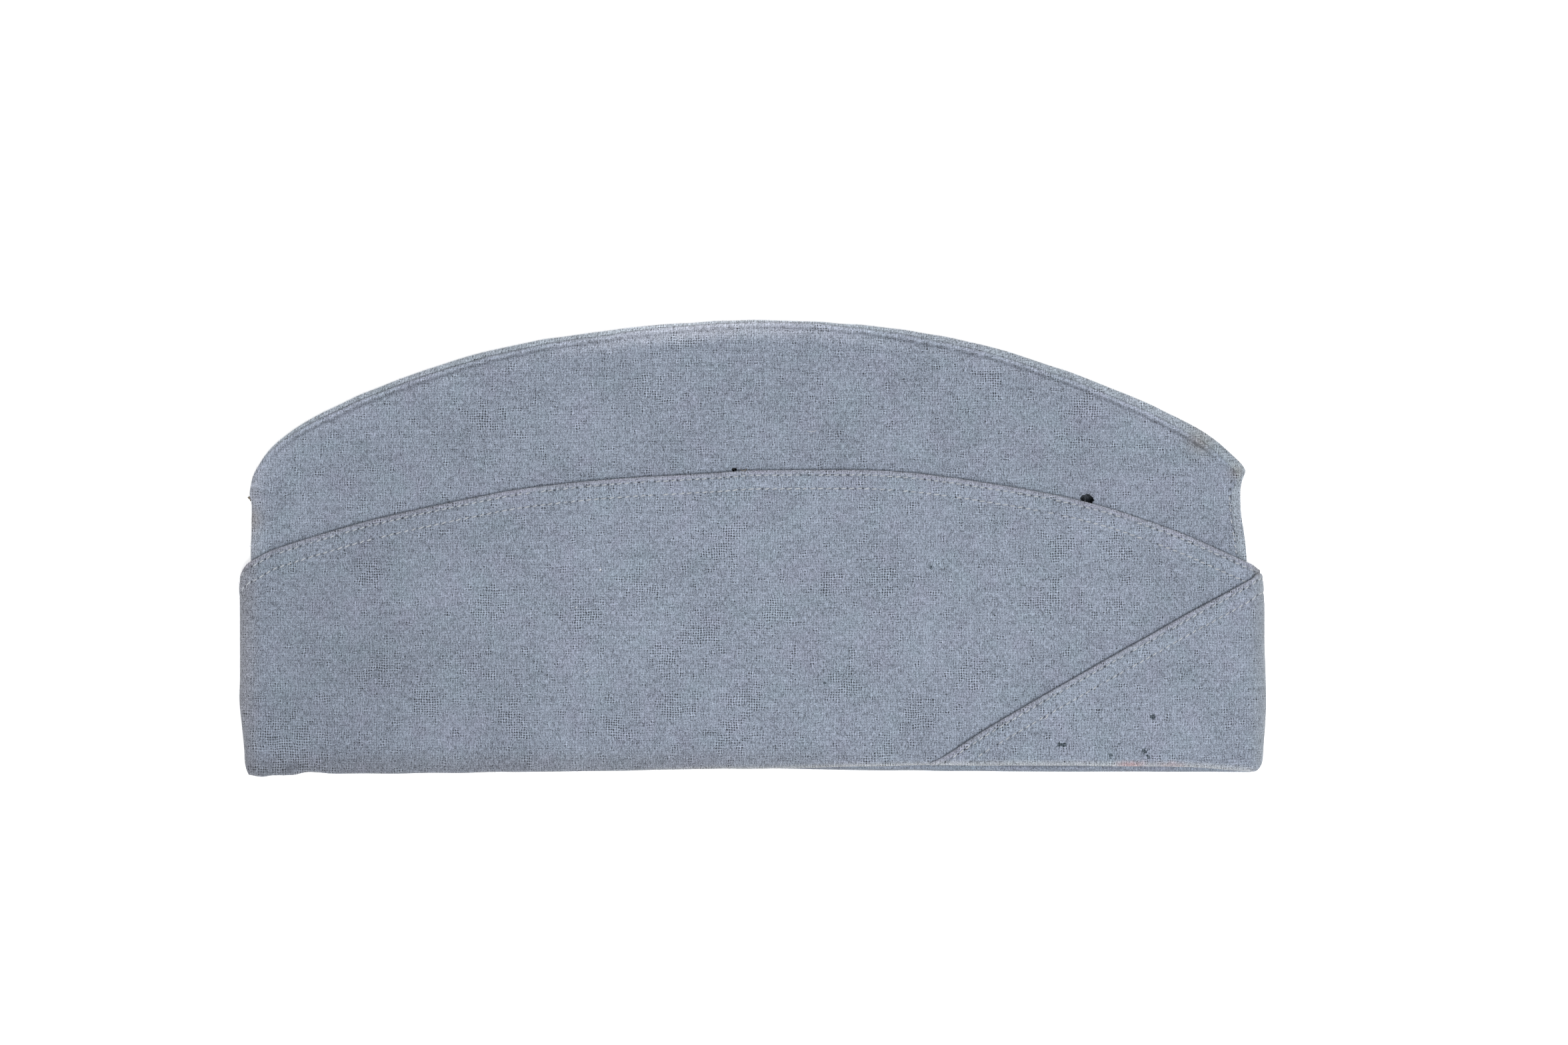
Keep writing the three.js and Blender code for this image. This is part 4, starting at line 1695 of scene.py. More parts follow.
    def cut(self, target: Piece, hole: MothHole) -> None:
        """Cut a ragged hole through a side.

        Args:
            target: The side.
            hole: The hole.
        """
        level = float(SHAPE.right_top(np.array(hole.x), np.array(hole.y)))
        cutter = hole.cutter(level)
        modifier = target.modifiers.new("hole", "BOOLEAN")
        modifier.object = cutter
        modifier.operation = "DIFFERENCE"
        modifier.solver = "EXACT"
        bpy.context.view_layer.objects.active = target
        bpy.ops.object.modifier_apply(modifier=modifier.name)
        bpy.data.objects.remove(cutter)

    def mark_cloth(self, target: Piece, side: Side) -> None:
        """Store where each vertex lies on the cloth.

        Args:
            target: One side of the crown.
            side: Which side it is.
        """
        points = vertices_of(target)
        tree = kdtree.KDTree(len(self.outline))
        for number, (x, y) in enumerate(self.outline):
            tree.insert((x, y, 0.0), number)
        tree.balance()
        found = np.array([tree.find((x, y, 0.0))[1:] for x, y, _ in points])
        along, distance = self.runs[found[:, 0].astype(int)], found[:, 1]
        x, y, z = points.T
        if side is Side.NEAR:
            outside = z > SHAPE.right_top(x, y) - self.edge_drop(distance) - self.near_face_depth
            rolled = np.zeros(len(points))
            near = np.ones(len(points))
        else:
            underside = SHAPE.left_underside(x, y)
            high = z > underside + self.seam_half - self.strip_below
            rolled = (high & (distance < self.strip_width.at(along) + self.strip_beyond)).astype(float)
            rolled = rolled * (1.0 - self.wrap_share.at(along))
            outside = (z < underside + self.far_face_depth) | (rolled > 0.0)
            near = rolled
        inward = distance - self.strip_width.at(along) - self.lip + self.lip_lap
        mark(target, "cloth", np.stack([x, y, 1.0 - outside], axis=1))
        mark(target, "seam", np.stack([along, inward, rolled], axis=1))
        mark(target, "wear", WORN.marks(points, near))

    def stitch_rows(self) -> list[StitchRow]:
        """The row of stitches down the front edge.

        Returns:
            The row.
        """
        shown = self.along > self.front_row[0]
        inside = np.full((len(self.along), 1), self.front_row[1])
        distance = self.right_start()[:, None] + inside
        spots, _ = self.spread(RIGHT_MOUTH, distance, np.zeros(0))
        top = SHAPE.right_top(spots[..., 0], spots[..., 1])
        top = top - self.edge_drop(distance) + self.seam_relief(inside)
        points = np.concatenate([spots, top[..., None]], axis=-1)[shown, 0]
        outward = np.broadcast_to((0.0, 0.0, 1.0), points.shape)
        return [StitchRow(points, outward, self.along[shown], pitch=1.75, share=0.8, lift=0.0, sunk=0.3)]

    def dress(self, left: Piece, right: Piece) -> None:
        """Give the sides their finish, and set them in the frame.

        Args:
            left: The left side.
            right: The right side.
        """
        # The crown's inner faces get strong painted shade, so the moth hole reads dark.
        wool = WoolFinish("crown_wool", SeamDetail(), streaks=0.06, back_darkening=0.02, inner_painted_shade=0.55)
        finish = wool.material()
        for side, node in ((left, "crown_left_side"), (right, "crown_right_side")):
            side.data.materials.append(finish)
            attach(side, "root")
            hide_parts(node)


@dataclass
class Stretch:
    """Stations along a stretch of the curtain, with one value a station in each array.

    A point of a station's section lies at start + out * way in X and Z. Where follow is 1, the height of
    the crown's right side is added to it.
    """

    start_x: Array
    start_z: Array
    way_x: Array
    way_z: Array
    follow: Array
    bottom: Array
    top: Array
    lean: Array
    foot_depth: Array
    foot_height: Array
    rise: Array
    slim: Array

    @classmethod
    def of(cls, count: int, **values: Numbers) -> "Stretch":
        """A stretch whose single values are repeated for each of its stations."""
        rows = {name: np.asarray(value, float) for name, value in values.items()}
        return cls(**{name: np.broadcast_to(row, (count,)) for name, row in rows.items()})

    @classmethod
    def join(cls, stretches: Sequence["Stretch"]) -> "Stretch":
        """The stations of several stretches in one run."""
        names = cls.__dataclass_fields__
        return cls(**{name: np.concatenate([getattr(part, name) for part in stretches]) for name in names})

    def place(self, out: Array, y: Array) -> Array:
        """Points of the sections.

        Args:
            out: Distances from the curtain's inner face, for each station and row.
            y: Y of each station and row.

        Returns:
            Points for each station and row.
        """
        drawn = np.where(self.way_x[:, None] < 0.0, SHAPE.back_draw(y), SHAPE.front_draw(y))
        x = self.start_x[:, None] + (out - drawn) * self.way_x[:, None]
        rest = SHAPE.right_top(np.broadcast_to(self.start_x[:, None], y.shape), y)
        z = self.start_z[:, None] + out * self.way_z[:, None] + self.follow[:, None] * rest
        return np.stack(np.broadcast_arrays(x, y, z), axis=-1)


@dataclass(frozen=True)
class EndTurn:
    """Where the curtain turns round one end of the cap. Angle 0 is on top of the cap, and pi is under it."""

    edge_x: float
    direction: float
    inner_top: float
    shoulder: float
    corner: float = 3.8

    @property
    def radius(self) -> float:
        """The radius of the curtain's inner face in the turn."""
        return (self.inner_top - SHAPE.curtain_cloth) / 2

    @property
    def outer(self) -> float:
        """The radius of the curtain's outer face in the turn."""
        return self.radius + SHAPE.curtain_cloth

    @property
    def middle_x(self) -> float:
        """X of the middle of the turn."""
        return self.edge_x - self.direction * self.outer

    def outer_x(self, angle: Array) -> Array:
        """X of the curtain's outer face at an angle."""
        return self.middle_x + self.direction * self.outer * np.sin(angle)

    def stretch(self, angle: Array, **values: Numbers) -> Stretch:
        """Stations round the turn.

        Args:
            angle: The angle of each station.
            values: The sections' sizes, with bottom given before the corner's lift.

        Returns:
            The stations.
        """
        way_x, way_z = self.direction * np.sin(angle), np.cos(angle)
        rounding = 1.0 - np.abs(np.cos(angle))
        values["bottom"] = values["bottom"] + self.corner * rounding
        values["top"] = values["top"] - self.shoulder * rounding
        return Stretch.of(
            len(angle),
            start_x=self.middle_x + self.radius * way_x,
            start_z=SHAPE.curtain_cloth + self.radius + self.radius * way_z,
            way_x=way_x,
            way_z=way_z,
            follow=0.0,
            **values,
        )


@dataclass
class Section:
    """The curtain's sections: where each place lies on the cloth, for every station and row."""

    run: Stretch
    out: Array
    y: Array
    hem: Array
    fold: Array
    weft: Array
    inside: Array

    def __post_init__(self) -> None:
        """Place the sections."""
        self.rings = self.run.place(self.out, self.y)
        level = np.full((len(self.run.top), 1), SHAPE.length_y)
        outer = self.run.place(np.full_like(level, SHAPE.curtain_cloth), level)[:, 0]
        self.length = run_length(outer)
        edge = int(np.argmin(np.where(self.inside[0] < 0.5, self.hem[0], np.inf)))
        self.edge_run = run_length(self.rings[:, edge])

    def line(self, from_hem: float) -> tuple[Array, Array]:
        """A line along the outer face, at a distance from the hem's edge.

        Args:
            from_hem: The distance.

        Returns:
            Its points, and the direction out of the cloth at each.
        """
        points = np.empty((len(self.rings), 3))
        for number, (hem, ring, inside) in enumerate(zip(self.hem, self.rings, self.inside)):
            face = inside < 0.5
            order = np.argsort(hem[face])
            for axis in range(3):
                points[number, axis] = np.interp(from_hem, hem[face][order], ring[face][order, axis])
        ways = np.stack([self.run.way_x, np.zeros_like(self.run.way_x), self.run.way_z], axis=1)
        return points, unit(ways)

    def marks(self, backwards: bool) -> dict[str, Array]:
        """What the finish reads on each vertex.

        Args:
            backwards: Whether the stations run against +X.

        Returns:
            Named rows of three numbers.
        """
        warp = np.broadcast_to((-1.0 if backwards else 1.0) * self.length[:, None], self.out.shape)
        along = np.broadcast_to(self.edge_run[:, None], self.out.shape)
        grids = {
            "cloth": (warp, self.weft, self.inside),
            "hem": (along, self.hem, self.fold),
        }
        return {name: np.stack(columns, axis=-1).reshape(-1, 3) for name, columns in grids.items()}


@dataclass
class Curtain:
    """The band round the crown: a folded foot, a leg, and a doubled hem with two rows of stitches."""

    station_step: float = 0.85
    turn_step: float = 0.6
    foot_steps: int = 14
    leg_rows: int = 60
    back_rows: int = 20
    hem_reach: float = 7.2
    hem_step: float = 0.32
    hem_rise: float = 0.28
    edge_round: float = 0.8
    first_row: float = 1.45
    second_row: float = 5.2
    groove: float = 0.24
    groove_width: float = 0.3
    pillow: float = 0.12
    end_round: float = 1.2
    edge_wave: float = 0.22
    right_end: float = 142.2
    end_drop: float = 0.7
    end_lift: float = 1.8
    end_slim: float = 0.5
    end_reach: float = 3.4
    end_flat: Span = (1.5, 9.0)
    foot_opens: Span = (0.0, 0.5)
    hem_thickens: Span = (0.6, 1.0)
    tip_height: float = 0.6
    tip_sink: float = 0.9
    tip_sink_reach: float = 9.0
    tip_slim: float = 0.35
    tip_slim_reach: float = 6.0
    least_full: float = 0.01
    foot_share: float = 0.35
    hem_share: float = 0.5
    stand_share: float = 0.45
    turned_share: float = 0.1
    edge_rows: tuple[float, ...] = (0.3, 0.18, 0.09, 0.03, 0.0)
    edge_rows_from: float = 0.4
    turned_drops: tuple[float, ...] = (0.0, 0.12, 0.4)
    turned_outs: tuple[float, ...] = (0.5, 0.14, 0.0)
    tuck_drops: Span = (0.12, 0.3)
    tuck_outs: Span = (0.55, 1.0)
    hem_step_span: Span = (0.25, 1.1)
    leg_span: Span = (2.5, 8.0)
    lined_fold: float = -20.0
    lined_hem: float = -1.0
    mouth_wave: float = 0.12
    mouth_calm: Span = (140.0, 130.0)
    far_noise_row: float = 40.0
    upward_span: Span = (-0.2, 0.2)
    stitch_clear: float = 1.5
    overlap_tip: float = 49.6
    overlap_foot: Span = (0.1, 1.0)
    far_leg_lift: float = 0.25
    back_notch: float = 0.12
    back_shoulder: float = 3.4
    front_shoulder: float = 0.9
    left_nips: tuple[Nip, ...] = (
        Nip(85.2, -54.3, 1.1), Nip(86.9, -54.6, 0.9), Nip(111.6, -46.8, 0.85), Nip(109.0, -56.2, 0.9),
        Nip(110.0, -57.4, 0.9), Nip(99.6, -57.7, 0.6), Nip(101.9, -53.9, 0.45),
    )
    right_nips: tuple[Nip, ...] = (Nip(49.6, -5.4, 0.5), Nip(20.2, -37.3, 0.42))
    flats: tuple[Triple, ...] = ((0.395, 0.092, 0.0262), (0.289, 0.092, 0.0228))
    dent_height: float = 0.5
    foot_dents: tuple[tuple[float, float, float, float], ...] = ((-128.5, 3.6, 0.8, 3.2),)

    def __post_init__(self) -> None:
        """Set the two end turns and the heights of the plies over the crown."""
        self.near_lift = SHAPE.gap
        self.overlap_lift = 2 * SHAPE.gap + SHAPE.curtain_cloth
        end_top = SHAPE.curtain_cloth + 2 * SHAPE.gap + 2 * SHAPE.crown_cloth
        self.back_turn = EndTurn(-SHAPE.length / 2, -1.0, end_top + self.near_lift, self.back_shoulder)
        self.front_turn = EndTurn(SHAPE.length / 2, 1.0, end_top + self.overlap_lift, self.front_shoulder)
        self.edge_noise = SoftNoise(31, 11.0)
        self.mouth_noise = SoftNoise(32, 9.0)

    def top_edge(self, x: Array) -> Array:
        """Y of the curtain's level upper edge, with its slight waves."""
        return CURTAIN_TOP.at(x) + self.edge_wave * self.edge_noise.at(x)

    def slant_edge(self, x: Array) -> Array:
        """Y of the overlap's slanting edge, with its slight waves."""
        return OVERLAP_EDGE.at(x) + self.edge_wave * self.edge_noise.at(x, self.far_noise_row)

    def near_mouth(self, x: Array) -> Array:
        """Y of the near fold at the mouth."""
        return RIGHT_MOUTH.at(x) + self.mouth_waves(x, 0.0)

    def far_mouth(self, x: Array) -> Array:
        """Y of the far fold at the mouth."""
        return LEFT_MOUTH.at(x) + self.mouth_waves(x, self.far_noise_row)

    def mouth_waves(self, x: Array, noise_row: float) -> Array:
        """The slight waves of a fold at the mouth, which die away at its ends."""
        return self.mouth_wave * self.mouth_noise.at(x, noise_row) * ease(np.abs(x), *self.mouth_calm)

    def steps(self, start: float, end: float, step: float) -> Array:
        """Even places from start to end, no further apart than a step."""
        return np.linspace(start, end, math.ceil(abs(end - start) / step) + 1)

    def slimming(self, from_end: Array) -> Array:
        """How full the cloth is near a cut end, which is least at the end itself."""
        inward = 1.0 - np.clip(from_end / self.end_round, 0.0, 1.0)
        return np.sqrt(np.maximum(1.0 - inward**2, self.least_full))

    def level_hem(self, x: Array) -> dict[str, Numbers]:
        """The sizes of sections with a level hem and a whole folded foot."""
        return {
            "top": self.top_edge(x),
            "lean": CURTAIN_TOP.lean(x),
            "foot_depth": SHAPE.foot_depth,
            "foot_height": SHAPE.foot_height,
        }

    def level_run(self, x: Array, start_z: Numbers, way_z: float, **values: Numbers) -> Stretch:
        """Stations that lie level, on the crown where way_z is 1 and under it where way_z is -1."""
        follow = max(way_z, 0.0)
        return Stretch.of(len(x), start_x=x, start_z=start_z, way_x=0.0, way_z=way_z, follow=follow, **values)

    def right_stations(self) -> Stretch:
        """The right piece, from its end under the overlap to the middle of the back.

        Returns:
            Its stations.
        """
        turn = self.back_turn
        x = self.steps(self.right_end, turn.middle_x, self.station_step)
        from_end = self.right_end - x
        tucked = ease(from_end, self.end_reach, 0.0)
        sizes = self.level_hem(x)
        sizes["top"] = sizes["top"] - self.end_drop * tucked**2
        flat = self.level_run(
            x,
            self.near_lift - self.end_drop * tucked,
            1.0,
            bottom=self.near_mouth(x) + self.end_lift * tucked,
            rise=self.hem_rise * ease(from_end, *self.end_flat),
            slim=self.slimming(from_end) * mix(1.0, self.end_slim, tucked),
            **sizes,
        )
        angle = self.steps(0.0, np.pi / 2 - self.back_notch / turn.outer, self.turn_step / turn.outer)[1:]
        edge_x = turn.outer_x(angle)
        back = turn.stretch(
            angle,
            bottom=self.near_mouth(edge_x),
            rise=self.hem_rise * np.cos(angle),
            slim=self.slimming((np.pi / 2 - angle) * turn.outer),
            **self.level_hem(edge_x),
        )
        return Stretch.join([flat, back])

    def left_stations(self) -> Stretch:
        """The left piece, from the middle of the back, under the cap and round the front to its tip."""
        return Stretch.join([self.left_back(), self.left_under(), self.left_front(), self.overlap()])

    def left_back(self) -> Stretch:
        """The left piece from the middle of the back to the underside.

        Returns:
            Its stations.
        """
        turn = self.back_turn
        angle = self.steps(np.pi / 2 + self.back_notch / turn.outer, np.pi, self.turn_step / turn.outer)[:-1]
        x = turn.outer_x(angle)
        slim = self.slimming((angle - np.pi / 2) * turn.outer)
        return turn.stretch(angle, bottom=self.far_mouth(x), rise=0.0, slim=slim, **self.level_hem(x))

    def left_under(self) -> Stretch:
        """The left piece under the cap.

        Returns:
            Its stations.
        """
        x = self.steps(self.back_turn.middle_x, self.front_turn.middle_x, self.station_step)
        sizes = {"bottom": self.far_mouth(x), "rise": 0.0, "slim": 1.0, **self.level_hem(x)}
        return self.level_run(x, SHAPE.curtain_cloth, -1.0, **sizes)

    def left_front(self) -> Stretch:
        """The left piece round the front, where its hem swings down into the slanting edge.

        Returns:
            Its stations.
        """
        turn = self.front_turn
        risen = self.steps(0.0, 1.0, self.turn_step / (np.pi * turn.outer))[1:-1]
        angle = np.pi * (1.0 - risen)
        x = turn.outer_x(angle)
        bare = ease(risen, *self.foot_opens)
        return turn.stretch(
            angle,
            bottom=mix(self.far_mouth(x), self.near_mouth(x), risen),
            top=mix(self.top_edge(x), self.slant_edge(x), risen),
            lean=mix(CURTAIN_TOP.lean(x), OVERLAP_EDGE.lean(x), risen),
            foot_depth=mix(SHAPE.foot_depth, self.overlap_foot[0], bare),
            foot_height=mix(SHAPE.foot_height, self.overlap_foot[1], bare),
            rise=self.hem_rise * ease(risen, *self.hem_thickens),
            slim=1.0,
        )

    def overlap(self) -> Stretch:
        """The left piece on top of the cap, to the tip of its slanting edge.

        Returns:
            Its stations.
        """
        x = self.steps(self.front_turn.middle_x, self.overlap_tip, self.station_step)
        from_tip = x - self.overlap_tip
        return self.level_run(
            x,
            self.overlap_lift - self.tip_sink * (1.0 - ease(from_tip, 0.0, self.tip_sink_reach)),
            1.0,
            bottom=self.near_mouth(x),
            top=np.maximum(self.slant_edge(x), self.near_mouth(x) + self.tip_height),
            lean=OVERLAP_EDGE.lean(x),
            foot_depth=self.overlap_foot[0],
            foot_height=self.overlap_foot[1],
            rise=self.hem_rise,
            slim=mix(self.tip_slim, 1.0, ease(from_tip, 0.0, self.tip_slim_reach)),
        )

    def section(self, run: Stretch) -> Section:
        """The outlines of the stations' sections, from the foot up the outer face and back down inside.

        Args:
            run: The stations.

        Returns:
            The sections.
        """
        cloth, column = SHAPE.curtain_cloth, (slice(None), None)
        bottom, top, lean = run.bottom[column], run.top[column], run.lean[column]
        tall = top - bottom
        radius = (cloth + run.foot_depth[column]) / 2
        foot_rise = np.minimum(radius, self.foot_share * tall)
        hem_from = top - np.minimum(self.hem_reach / lean, self.hem_share * tall)
        turn = np.linspace(np.pi, 2 * np.pi, self.foot_steps)[None]
        foot_y = bottom + foot_rise * (1.0 + np.sin(turn))
        foot_out = cloth - radius + radius * np.cos(turn)
        shares = np.arange(1, self.leg_rows)[None] / self.leg_rows
        leg_y = mix(bottom + foot_rise, hem_from, shares)
        even_rows = np.arange(self.hem_reach, self.edge_rows_from, -self.hem_step)
        hem_rows = np.concatenate([even_rows, self.edge_rows])[None]
        hem_y = mix(top, hem_from, hem_rows / self.hem_reach)
        face_y = np.concatenate([leg_y, hem_y], axis=1)
        from_hem = (top - face_y) * lean
        from_fold = radius * np.pi / 2 + face_y - bottom - foot_rise
        face_out = cloth + self.relief(run, from_hem, from_fold)
        stand = bottom + np.minimum(run.foot_height[column], self.stand_share * tall)
        turned_y = top - np.minimum(np.array([self.turned_drops]), self.turned_share * tall)
        turned_out = np.broadcast_to(np.array([self.turned_outs]), turned_y.shape)
        back_shares = np.arange(1, self.back_rows + 1)[None] / self.back_rows
        back_y = mix(turned_y[:, -1:], stand, back_shares)
        tuck_y = stand - np.array([self.tuck_drops]) * (stand - bottom - foot_rise)
        tuck_out = -np.array([self.tuck_outs]) * run.foot_depth[column]
        out = np.concatenate([foot_out, face_out, turned_out, np.zeros_like(back_y), tuck_out], axis=1)
        y = np.concatenate([foot_y, face_y, turned_y, back_y, tuck_y], axis=1)
        lining_rows = turned_y.shape[1] + back_y.shape[1] + tuck_y.shape[1]
        lined = np.zeros((len(tall), lining_rows))
        fold = np.concatenate([radius * (turn - 1.5 * np.pi), from_fold, lined + self.lined_fold], axis=1)
        hem = np.concatenate([(top - foot_y) * lean, from_hem, lined + self.lined_hem], axis=1)
        foot_weft = bottom + foot_rise * (1.0 + turn - 2 * np.pi)
        weft = np.concatenate([foot_weft, y[:, self.foot_steps :]], axis=1)
        inside = np.concatenate([np.zeros_like(foot_y), np.zeros_like(face_y), lined + 1.0], axis=1)
        inside[:, : self.foot_steps // 3] = 1.0
        middle = cloth / 2
        out = middle + (out - middle) * run.slim[column]
        return Section(run, out, y, hem, fold, weft, inside)

    def relief(self, run: Stretch, from_hem: Array, from_fold: Array) -> Array:
        """How far the outer face stands out from the leg's plain face.

        Args:
            run: The stations.
            from_hem: Distances from the hem's edge.
            from_fold: Distances from the crest of the fold at the mouth.

        Returns:
            Heights, for each station and row.
        """
        hem = 1.0 - ease(from_hem - self.second_row, *self.hem_step_span)
        between = np.clip((from_hem - self.first_row) / (self.second_row - self.first_row), 0.0, 1.0)
        grooves = sum(bell(from_hem, row, self.groove_width) for row in (self.first_row, self.second_row))
        inward = 1.0 - np.clip(from_hem / self.edge_round, 0.0, 1.0)
        rounding = self.edge_round * (1.0 - np.sqrt(1.0 - inward**2))
        under = np.clip(-run.way_z, 0.0, 1.0)[:, None]
        leg = (1.0 - hem) * ease(from_fold, *self.leg_span)
        raised = run.rise[:, None] * hem + self.pillow * np.sin(np.pi * between) * (1.0 - under)
        for x, distance, depth, reach in self.foot_dents:
            across = bell(run.start_x, x, reach) * run.follow
            raised = raised - depth * across[:, None] * bell(from_fold, distance, self.dent_height * reach)
        return raised - self.groove * grooves - rounding - self.far_leg_lift * under * leg

    def build(self) -> tuple[Piece, Piece]:
        """Make the two pieces.

        Returns:
            The left piece and the right piece.
        """
        self.left_section = self.section(self.left_stations())
        self.right_section = self.section(self.right_stations())
        pieces = []
        for name, section, backwards in (
            ("curtain_left_cloth", self.left_section, False),
            ("curtain_right_cloth", self.right_section, True),
        ):
            piece = ClothSweep(section.rings, strips=3).to_object(name)
            for mark_name, values in section.marks(backwards).items():
                mark(piece, mark_name, values)
            points = section.rings.reshape(-1, 3)
            upward = np.broadcast_to(section.run.way_z[:, None], section.out.shape).ravel()
            mark(piece, "wear", WORN.marks(points, ease(upward, *self.upward_span)))
            pieces.append(piece)
        return tuple(pieces)

    def dress(self, left: Piece, right: Piece) -> None:
        """Give the pieces their finish, and set them in the frame.

        Args:
            left: The left piece.
            right: The right piece.
        """
        finishes = (
            WoolFinish("curtain_wool_left", HemDetail(crest_from=26.0), self.left_nips),
            WoolFinish("curtain_wool_right", HemDetail(crest_from=-36.0), self.right_nips),
        )
        nodes = ("curtain_left_piece", "curtain_right_piece")
        for piece, node, finish, flat in zip((left, right), nodes, finishes, self.flats):
            piece.data.materials.append(finish.material())
            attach(piece, "root")
            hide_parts(node)

    def stitch_rows(self) -> list[StitchRow]:
        """The two rows of stitches along each piece's hem.

        Returns:
            The rows.
        """
        rows = []
        for section in (self.left_section, self.right_section):
            for from_hem in (self.first_row, self.second_row):
                points, outward = section.line(from_hem)
                tall = section.run.top - section.run.bottom
                long_enough = tall > from_hem / section.run.lean + self.stitch_clear
                whole = slice(0, int(np.max(np.nonzero(long_enough))) + 1)
                rows.append(StitchRow(points[whole], outward[whole], section.edge_run[whole]))
        return rows


@dataclass
class Stitching:
    """All the stitches, as short lengths of thread whose ends go down into the cloth."""

    length: float = 1.8
    radius: float = 0.21
    bow: float = 0.26
    slant: float = 0.16
    slant_span: Span = (0.5, 1.5)
    place_spread: float = 0.07
    length_span: Span = (0.82, 1.08)
    sink_span: Span = (0.12, 0.3)
    end_taper: float = 0.08
    steps: int = 7
    sides: int = 6
    seed: int = 51

    def row(self, row: StitchRow, draw: np.random.Generator) -> Array:
        """The middle lines of a row's stitches.

        Args:
            row: The row.
            draw: Where its unevenness comes from.

        Returns:
            Points for each stitch and step.
        """
        first, last = float(row.along[0]) / row.pitch, float(row.along[-1]) / row.pitch
        middles = (np.arange(math.ceil(first), math.floor(last)) + 0.5) * row.pitch
        count = len(middles)
        middles = middles + draw.normal(0.0, self.place_spread, count)
        share = np.linspace(-1.0, 1.0, self.steps)
        spans = row.share * self.length * draw.uniform(*self.length_span, count)
        at = middles[:, None] + spans[:, None] * share[None] / 2
        points, outward = (
            np.stack([np.interp(at, row.along, line[:, k]) for k in range(3)], axis=-1)
            for line in (row.points, row.outward)
        )
        outward = unit(outward)
        across = unit(np.cross(outward, np.gradient(points, axis=1)))
        sunk = draw.uniform(size=count) < row.sunk
        sinking = np.where(sunk, draw.uniform(*self.sink_span, count), 0.0)
        height = row.lift - sinking[:, None] - self.bow * share[None] ** 2
        sway = self.slant * share[None] * draw.uniform(*self.slant_span, count)[:, None]
        return points + outward * height[..., None] + across * sway[..., None]

    def build(self, rows: Sequence[StitchRow]) -> Piece:
        """Make the stitches of all the rows as one mesh.

        Args:
            rows: The rows.

        Returns:
            The stitches.
        """
        draw = np.random.default_rng(self.seed)
        lines = np.concatenate([self.row(row, draw) for row in rows])
        radii = self.radius * tapered(self.steps, self.end_taper)
        return make_threads("hem_stitches", lines, radii, self.sides)

    def dress(self, stitches: Piece) -> None:
        """Give the stitches their finish, and set them in the frame."""
        stitches.data.materials.append(ThreadFinish("sewing_thread").material())
        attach(stitches, "root")


@dataclass(frozen=True)
class Nap:
    """Fine fibres that stand out from the cloth, most of them at its folds and edges."""

    count: int = 9000
    steps: int = 4
    sides: int = 3
    radius: float = 0.02
    usual_length: float = 0.5
    length_spread: float = 0.5
    longest: float = 1.6
    bend: float = 0.5
    flat_share: float = 0.03
    edge_growth: float = 1.5
    lowest: float = 0.6
    tilt: float = 0.7
    root_depth: float = 0.06
    root_spread: float = 0.12
    tip: float = 0.4
    seed: int = 71

    def faces(self, piece: Piece) -> tuple[Array, Array, Array]:
        """A piece's faces.

        Args:
            piece: The piece.

        Returns:
            The middles in millimetres, the normals, and how likely a fibre is on each.
        """
        polygons = piece.data.polygons
        middles, normals = read(polygons, "center", 3) / MM, read(polygons, "normal", 3)
        corners = read(piece.data.loops, "vertex_index", kind=np.int32)
        first = corners[read(polygons, "loop_start", kind=np.int32)]
        outer = read(piece.data.attributes["cloth"].data, "vector", 3, np.float32)[first, 2] < 0.5
        upright = self.flat_share + (1.0 - np.abs(normals[:, 2])) ** self.edge_growth
        return middles, normals, read(polygons, "area") * upright * outer * (middles[:, 2] > self.lowest)

    def build(self, pieces: Sequence[Piece]) -> Piece:
        """Make the fibres of all the pieces as one mesh.

        Args:
            pieces: The pieces of cloth.

        Returns:
            The fibres.
        """
        draw = np.random.default_rng(self.seed)
        middles, normals, weights = (np.concatenate(part) for part in zip(*map(self.faces, pieces)))
        chosen = draw.choice(len(weights), self.count, p=weights / weights.sum())
        ways = unit(normals[chosen] + draw.normal(0.0, self.tilt, (self.count, 3)))
        curls = draw.normal(0.0, self.bend, (self.count, 3))
        lengths = self.usual_length * np.exp(draw.normal(0.0, self.length_spread, self.count))
        lengths = np.minimum(lengths, self.longest)[:, None, None]
        share = np.linspace(0.0, 1.0, self.steps)[None, :, None]
        roots = middles[chosen] - self.root_depth * normals[chosen]
        roots = roots + draw.normal(0.0, self.root_spread, (self.count, 3))
        lines = roots[:, None] + lengths * (share * ways[:, None] + share**2 * curls[:, None])
        lines[..., 2] = np.maximum(lines[..., 2], self.radius)
        radii = self.radius * np.linspace(1.0, self.tip, self.steps)
        return make_threads("nap_fibres", lines, radii, self.sides)

    def dress(self, fibres: Piece) -> None:
        """Give the fibres their finish, and set them in the frame."""
        finish = ThreadFinish("nap_fibre", (0.4, 0.43, 0.47, 1.0), (0.29, 0.32, 0.37, 1.0))
        fibres.data.materials.append(finish.material())
        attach(fibres, "root")


@dataclass(frozen=True)
class LooseEnd:
    """A short strand on top of the cap: its middle, its turn from +X, its length, its radius and its curl."""

    x: float
    y: float
    turn: float
    length: float
    radius: float
    curl: float = 0.15


